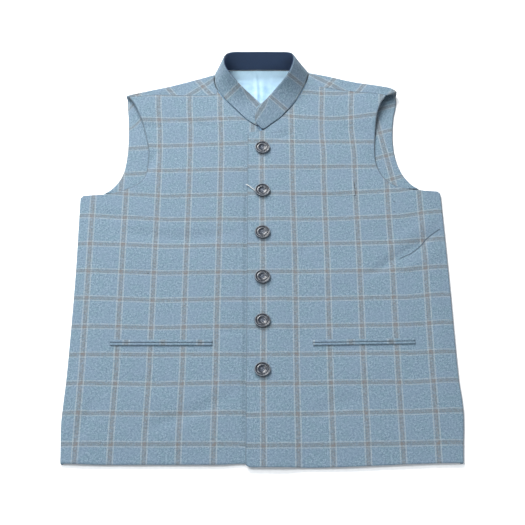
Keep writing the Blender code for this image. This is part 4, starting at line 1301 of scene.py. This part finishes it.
def horn_button():
    """Dark mottled horn with a polished surface, with painted highlights on the rim and the ring, and paler
    in the dish.
    """
    g = Graph("horn_button")
    place = g.place()
    figure = g.noise(g.stretched(place, 240.0, 90.0, 200.0), 1.0, 4.0, 0.6)
    grain = g.noise(place, 1500.0, 2.0, 0.5)
    du, dv, _ = g.parts(g.uv("disc"))
    out = g.times(g.distance(g.minus(du, 0.5), g.minus(dv, 0.5)), 2.0)
    rim = g.minus(g.range(out, 0.85, 0.91), g.range(out, 0.96, 1.0))
    ring = g.minus(g.range(out, 0.50, 0.57), g.range(out, 0.60, 0.67))
    # Painted highlight: the rim and the inner ring made paler
    rim_highlight = g.plus(g.times(rim, 0.85), g.times(ring, 0.45))
    colour = g.mix(g.range(figure, 0.35, 0.7), (0.008, 0.012, 0.020), (0.026, 0.033, 0.046))
    colour = g.layers(colour, [
        (g.times(rim_highlight, g.range(figure, 0.3, 0.6, 0.45, 1.0)), (0.165, 0.185, 0.215)),
        (g.range(out, 0.42, 0.26, 0.0, 0.75), (0.060, 0.074, 0.105)),
    ])
    g.bump(grain, 0.12, 0.0003)
    return g.surface(colour, g.range(grain, 0.3, 0.7, 0.24, 0.34), specular=0.45)


def pale_thread(name, light):
    """Twisted sewing thread."""
    g = Graph(name)
    ply = g.noise(g.stretched(g.place(), 2200.0, 2200.0, 2200.0), 1.0, 2.0, 0.6)
    colour = g.mix(g.range(ply, 0.35, 0.65), tuple(0.75 * c for c in light), light)
    g.bump(ply, 0.4, 0.0003)
    return g.surface(colour, g.range(ply, 0.3, 0.7, 0.55, 0.75), specular=0.3)


def pale_floor():
    """Plain white matt surface with an even, very fine tooth."""
    g = Graph("pale_floor")
    tooth = g.noise(g.place(), 180.0, 3.0, 0.5)
    colour = g.mix(g.range(tooth, 0.3, 0.7), (0.86, 0.865, 0.87), (0.90, 0.905, 0.91))
    return g.surface(colour, 0.9, specular=0.1)


# The pieces
cloth = check_cloth()
satin = satin_lining()
navy = navy_felt()
horn = horn_button()
sewing_thread = pale_thread("sewing_thread", (0.20, 0.23, 0.27))
white_thread = pale_thread("white_thread", (0.60, 0.62, 0.62))

back = dress(back_panel(cloth), "back")
front_right = dress(front_right_panel(cloth), "front_right")
front_left = dress(front_left_panel(cloth), "front_left")
collar, felt = collar_and_facing(cloth, navy)
dress(collar, "collar")
dress(felt, "collar_facing")
lining = dress(back_lining(satin), "back_lining")
facing_right, facing_left = [
    dress(armhole_facing(word, left, cloth), f"armhole_facing_{word}")
    for word, left in (("right", False), ("left", True))
]
welts = {node: dress(piece, node) for node, piece in pocket_welts(cloth)}
for index, v in enumerate(BUTTON_LINE):
    seat = float(front_level(np.array(0.0), np.array(v), True)) + SEAM_GAP
    centre = np.array([0.0, v, seat])
    dress(button(index, centre, horn), f"button_{index + 1}")
    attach(button_thread(index, centre, sewing_thread), "root")
loose_end = smooth_curve(LOOSE_THREAD, 4)
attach(threads_along("loose_thread", [loose_end], LOOSE_RADIUS, white_thread), "root")

# For each pocket welt: the front it lies on, and for the hip welts an area in square metres
for node, piece in welts.items():
    over = front_left if "left" in node or node == "breast_welt" else front_right
    if node == "breast_welt":
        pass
    else:
        shown_area = 0.00065 if "lower" in node else 0.00077

# Floor, light and camera
floor = ground("floor", 5.0, pale_floor())

scene = bpy.context.scene
scene.view_settings.view_transform = "Standard"
scene.view_settings.look = "None"
world = bpy.data.worlds.new("studio")
scene.world = world
world.use_nodes = True
background = world.node_tree.nodes["Background"].inputs
background["Color"].default_value = (0.93, 0.96, 1.0, 1.0)
background["Strength"].default_value = 0.42


def area_light(name, place, aim, size, power, colour):
    """A square soft light at a place, turned to a point."""
    lamp = bpy.data.lights.new(name, "AREA")
    lamp.shape = "SQUARE"
    lamp.size = size
    lamp.energy = power
    lamp.color = colour
    made = placed(name, lamp)
    made.location = place
    made.rotation_euler = (Vector(aim) - Vector(place)).to_track_quat("-Z", "Y").to_euler()


area_light("key", (-0.75, 1.8, 1.4), (0.0, 0.05, 0.0), 1.1, 96.0, (1.0, 0.99, 0.97))
area_light("side", (-1.1, 0.1, 2.3), (0.0, 0.0, 0.0), 1.0, 37.0, (0.97, 0.99, 1.0))
area_light("fill", (0.5, -2.0, 1.0), (0.0, 0.0, 0.0), 1.6, 17.0, (0.95, 0.98, 1.0))

camera_data = bpy.data.cameras.new("photo_camera")
camera_data.lens = 98.67
camera_data.sensor_width = 36.0
camera = placed("photo_camera", camera_data)
camera.location = (-0.0009, -1.2039, 1.8033)
camera.rotation_euler = (math.radians(33.2), 0.0, 0.0)
scene.camera = camera
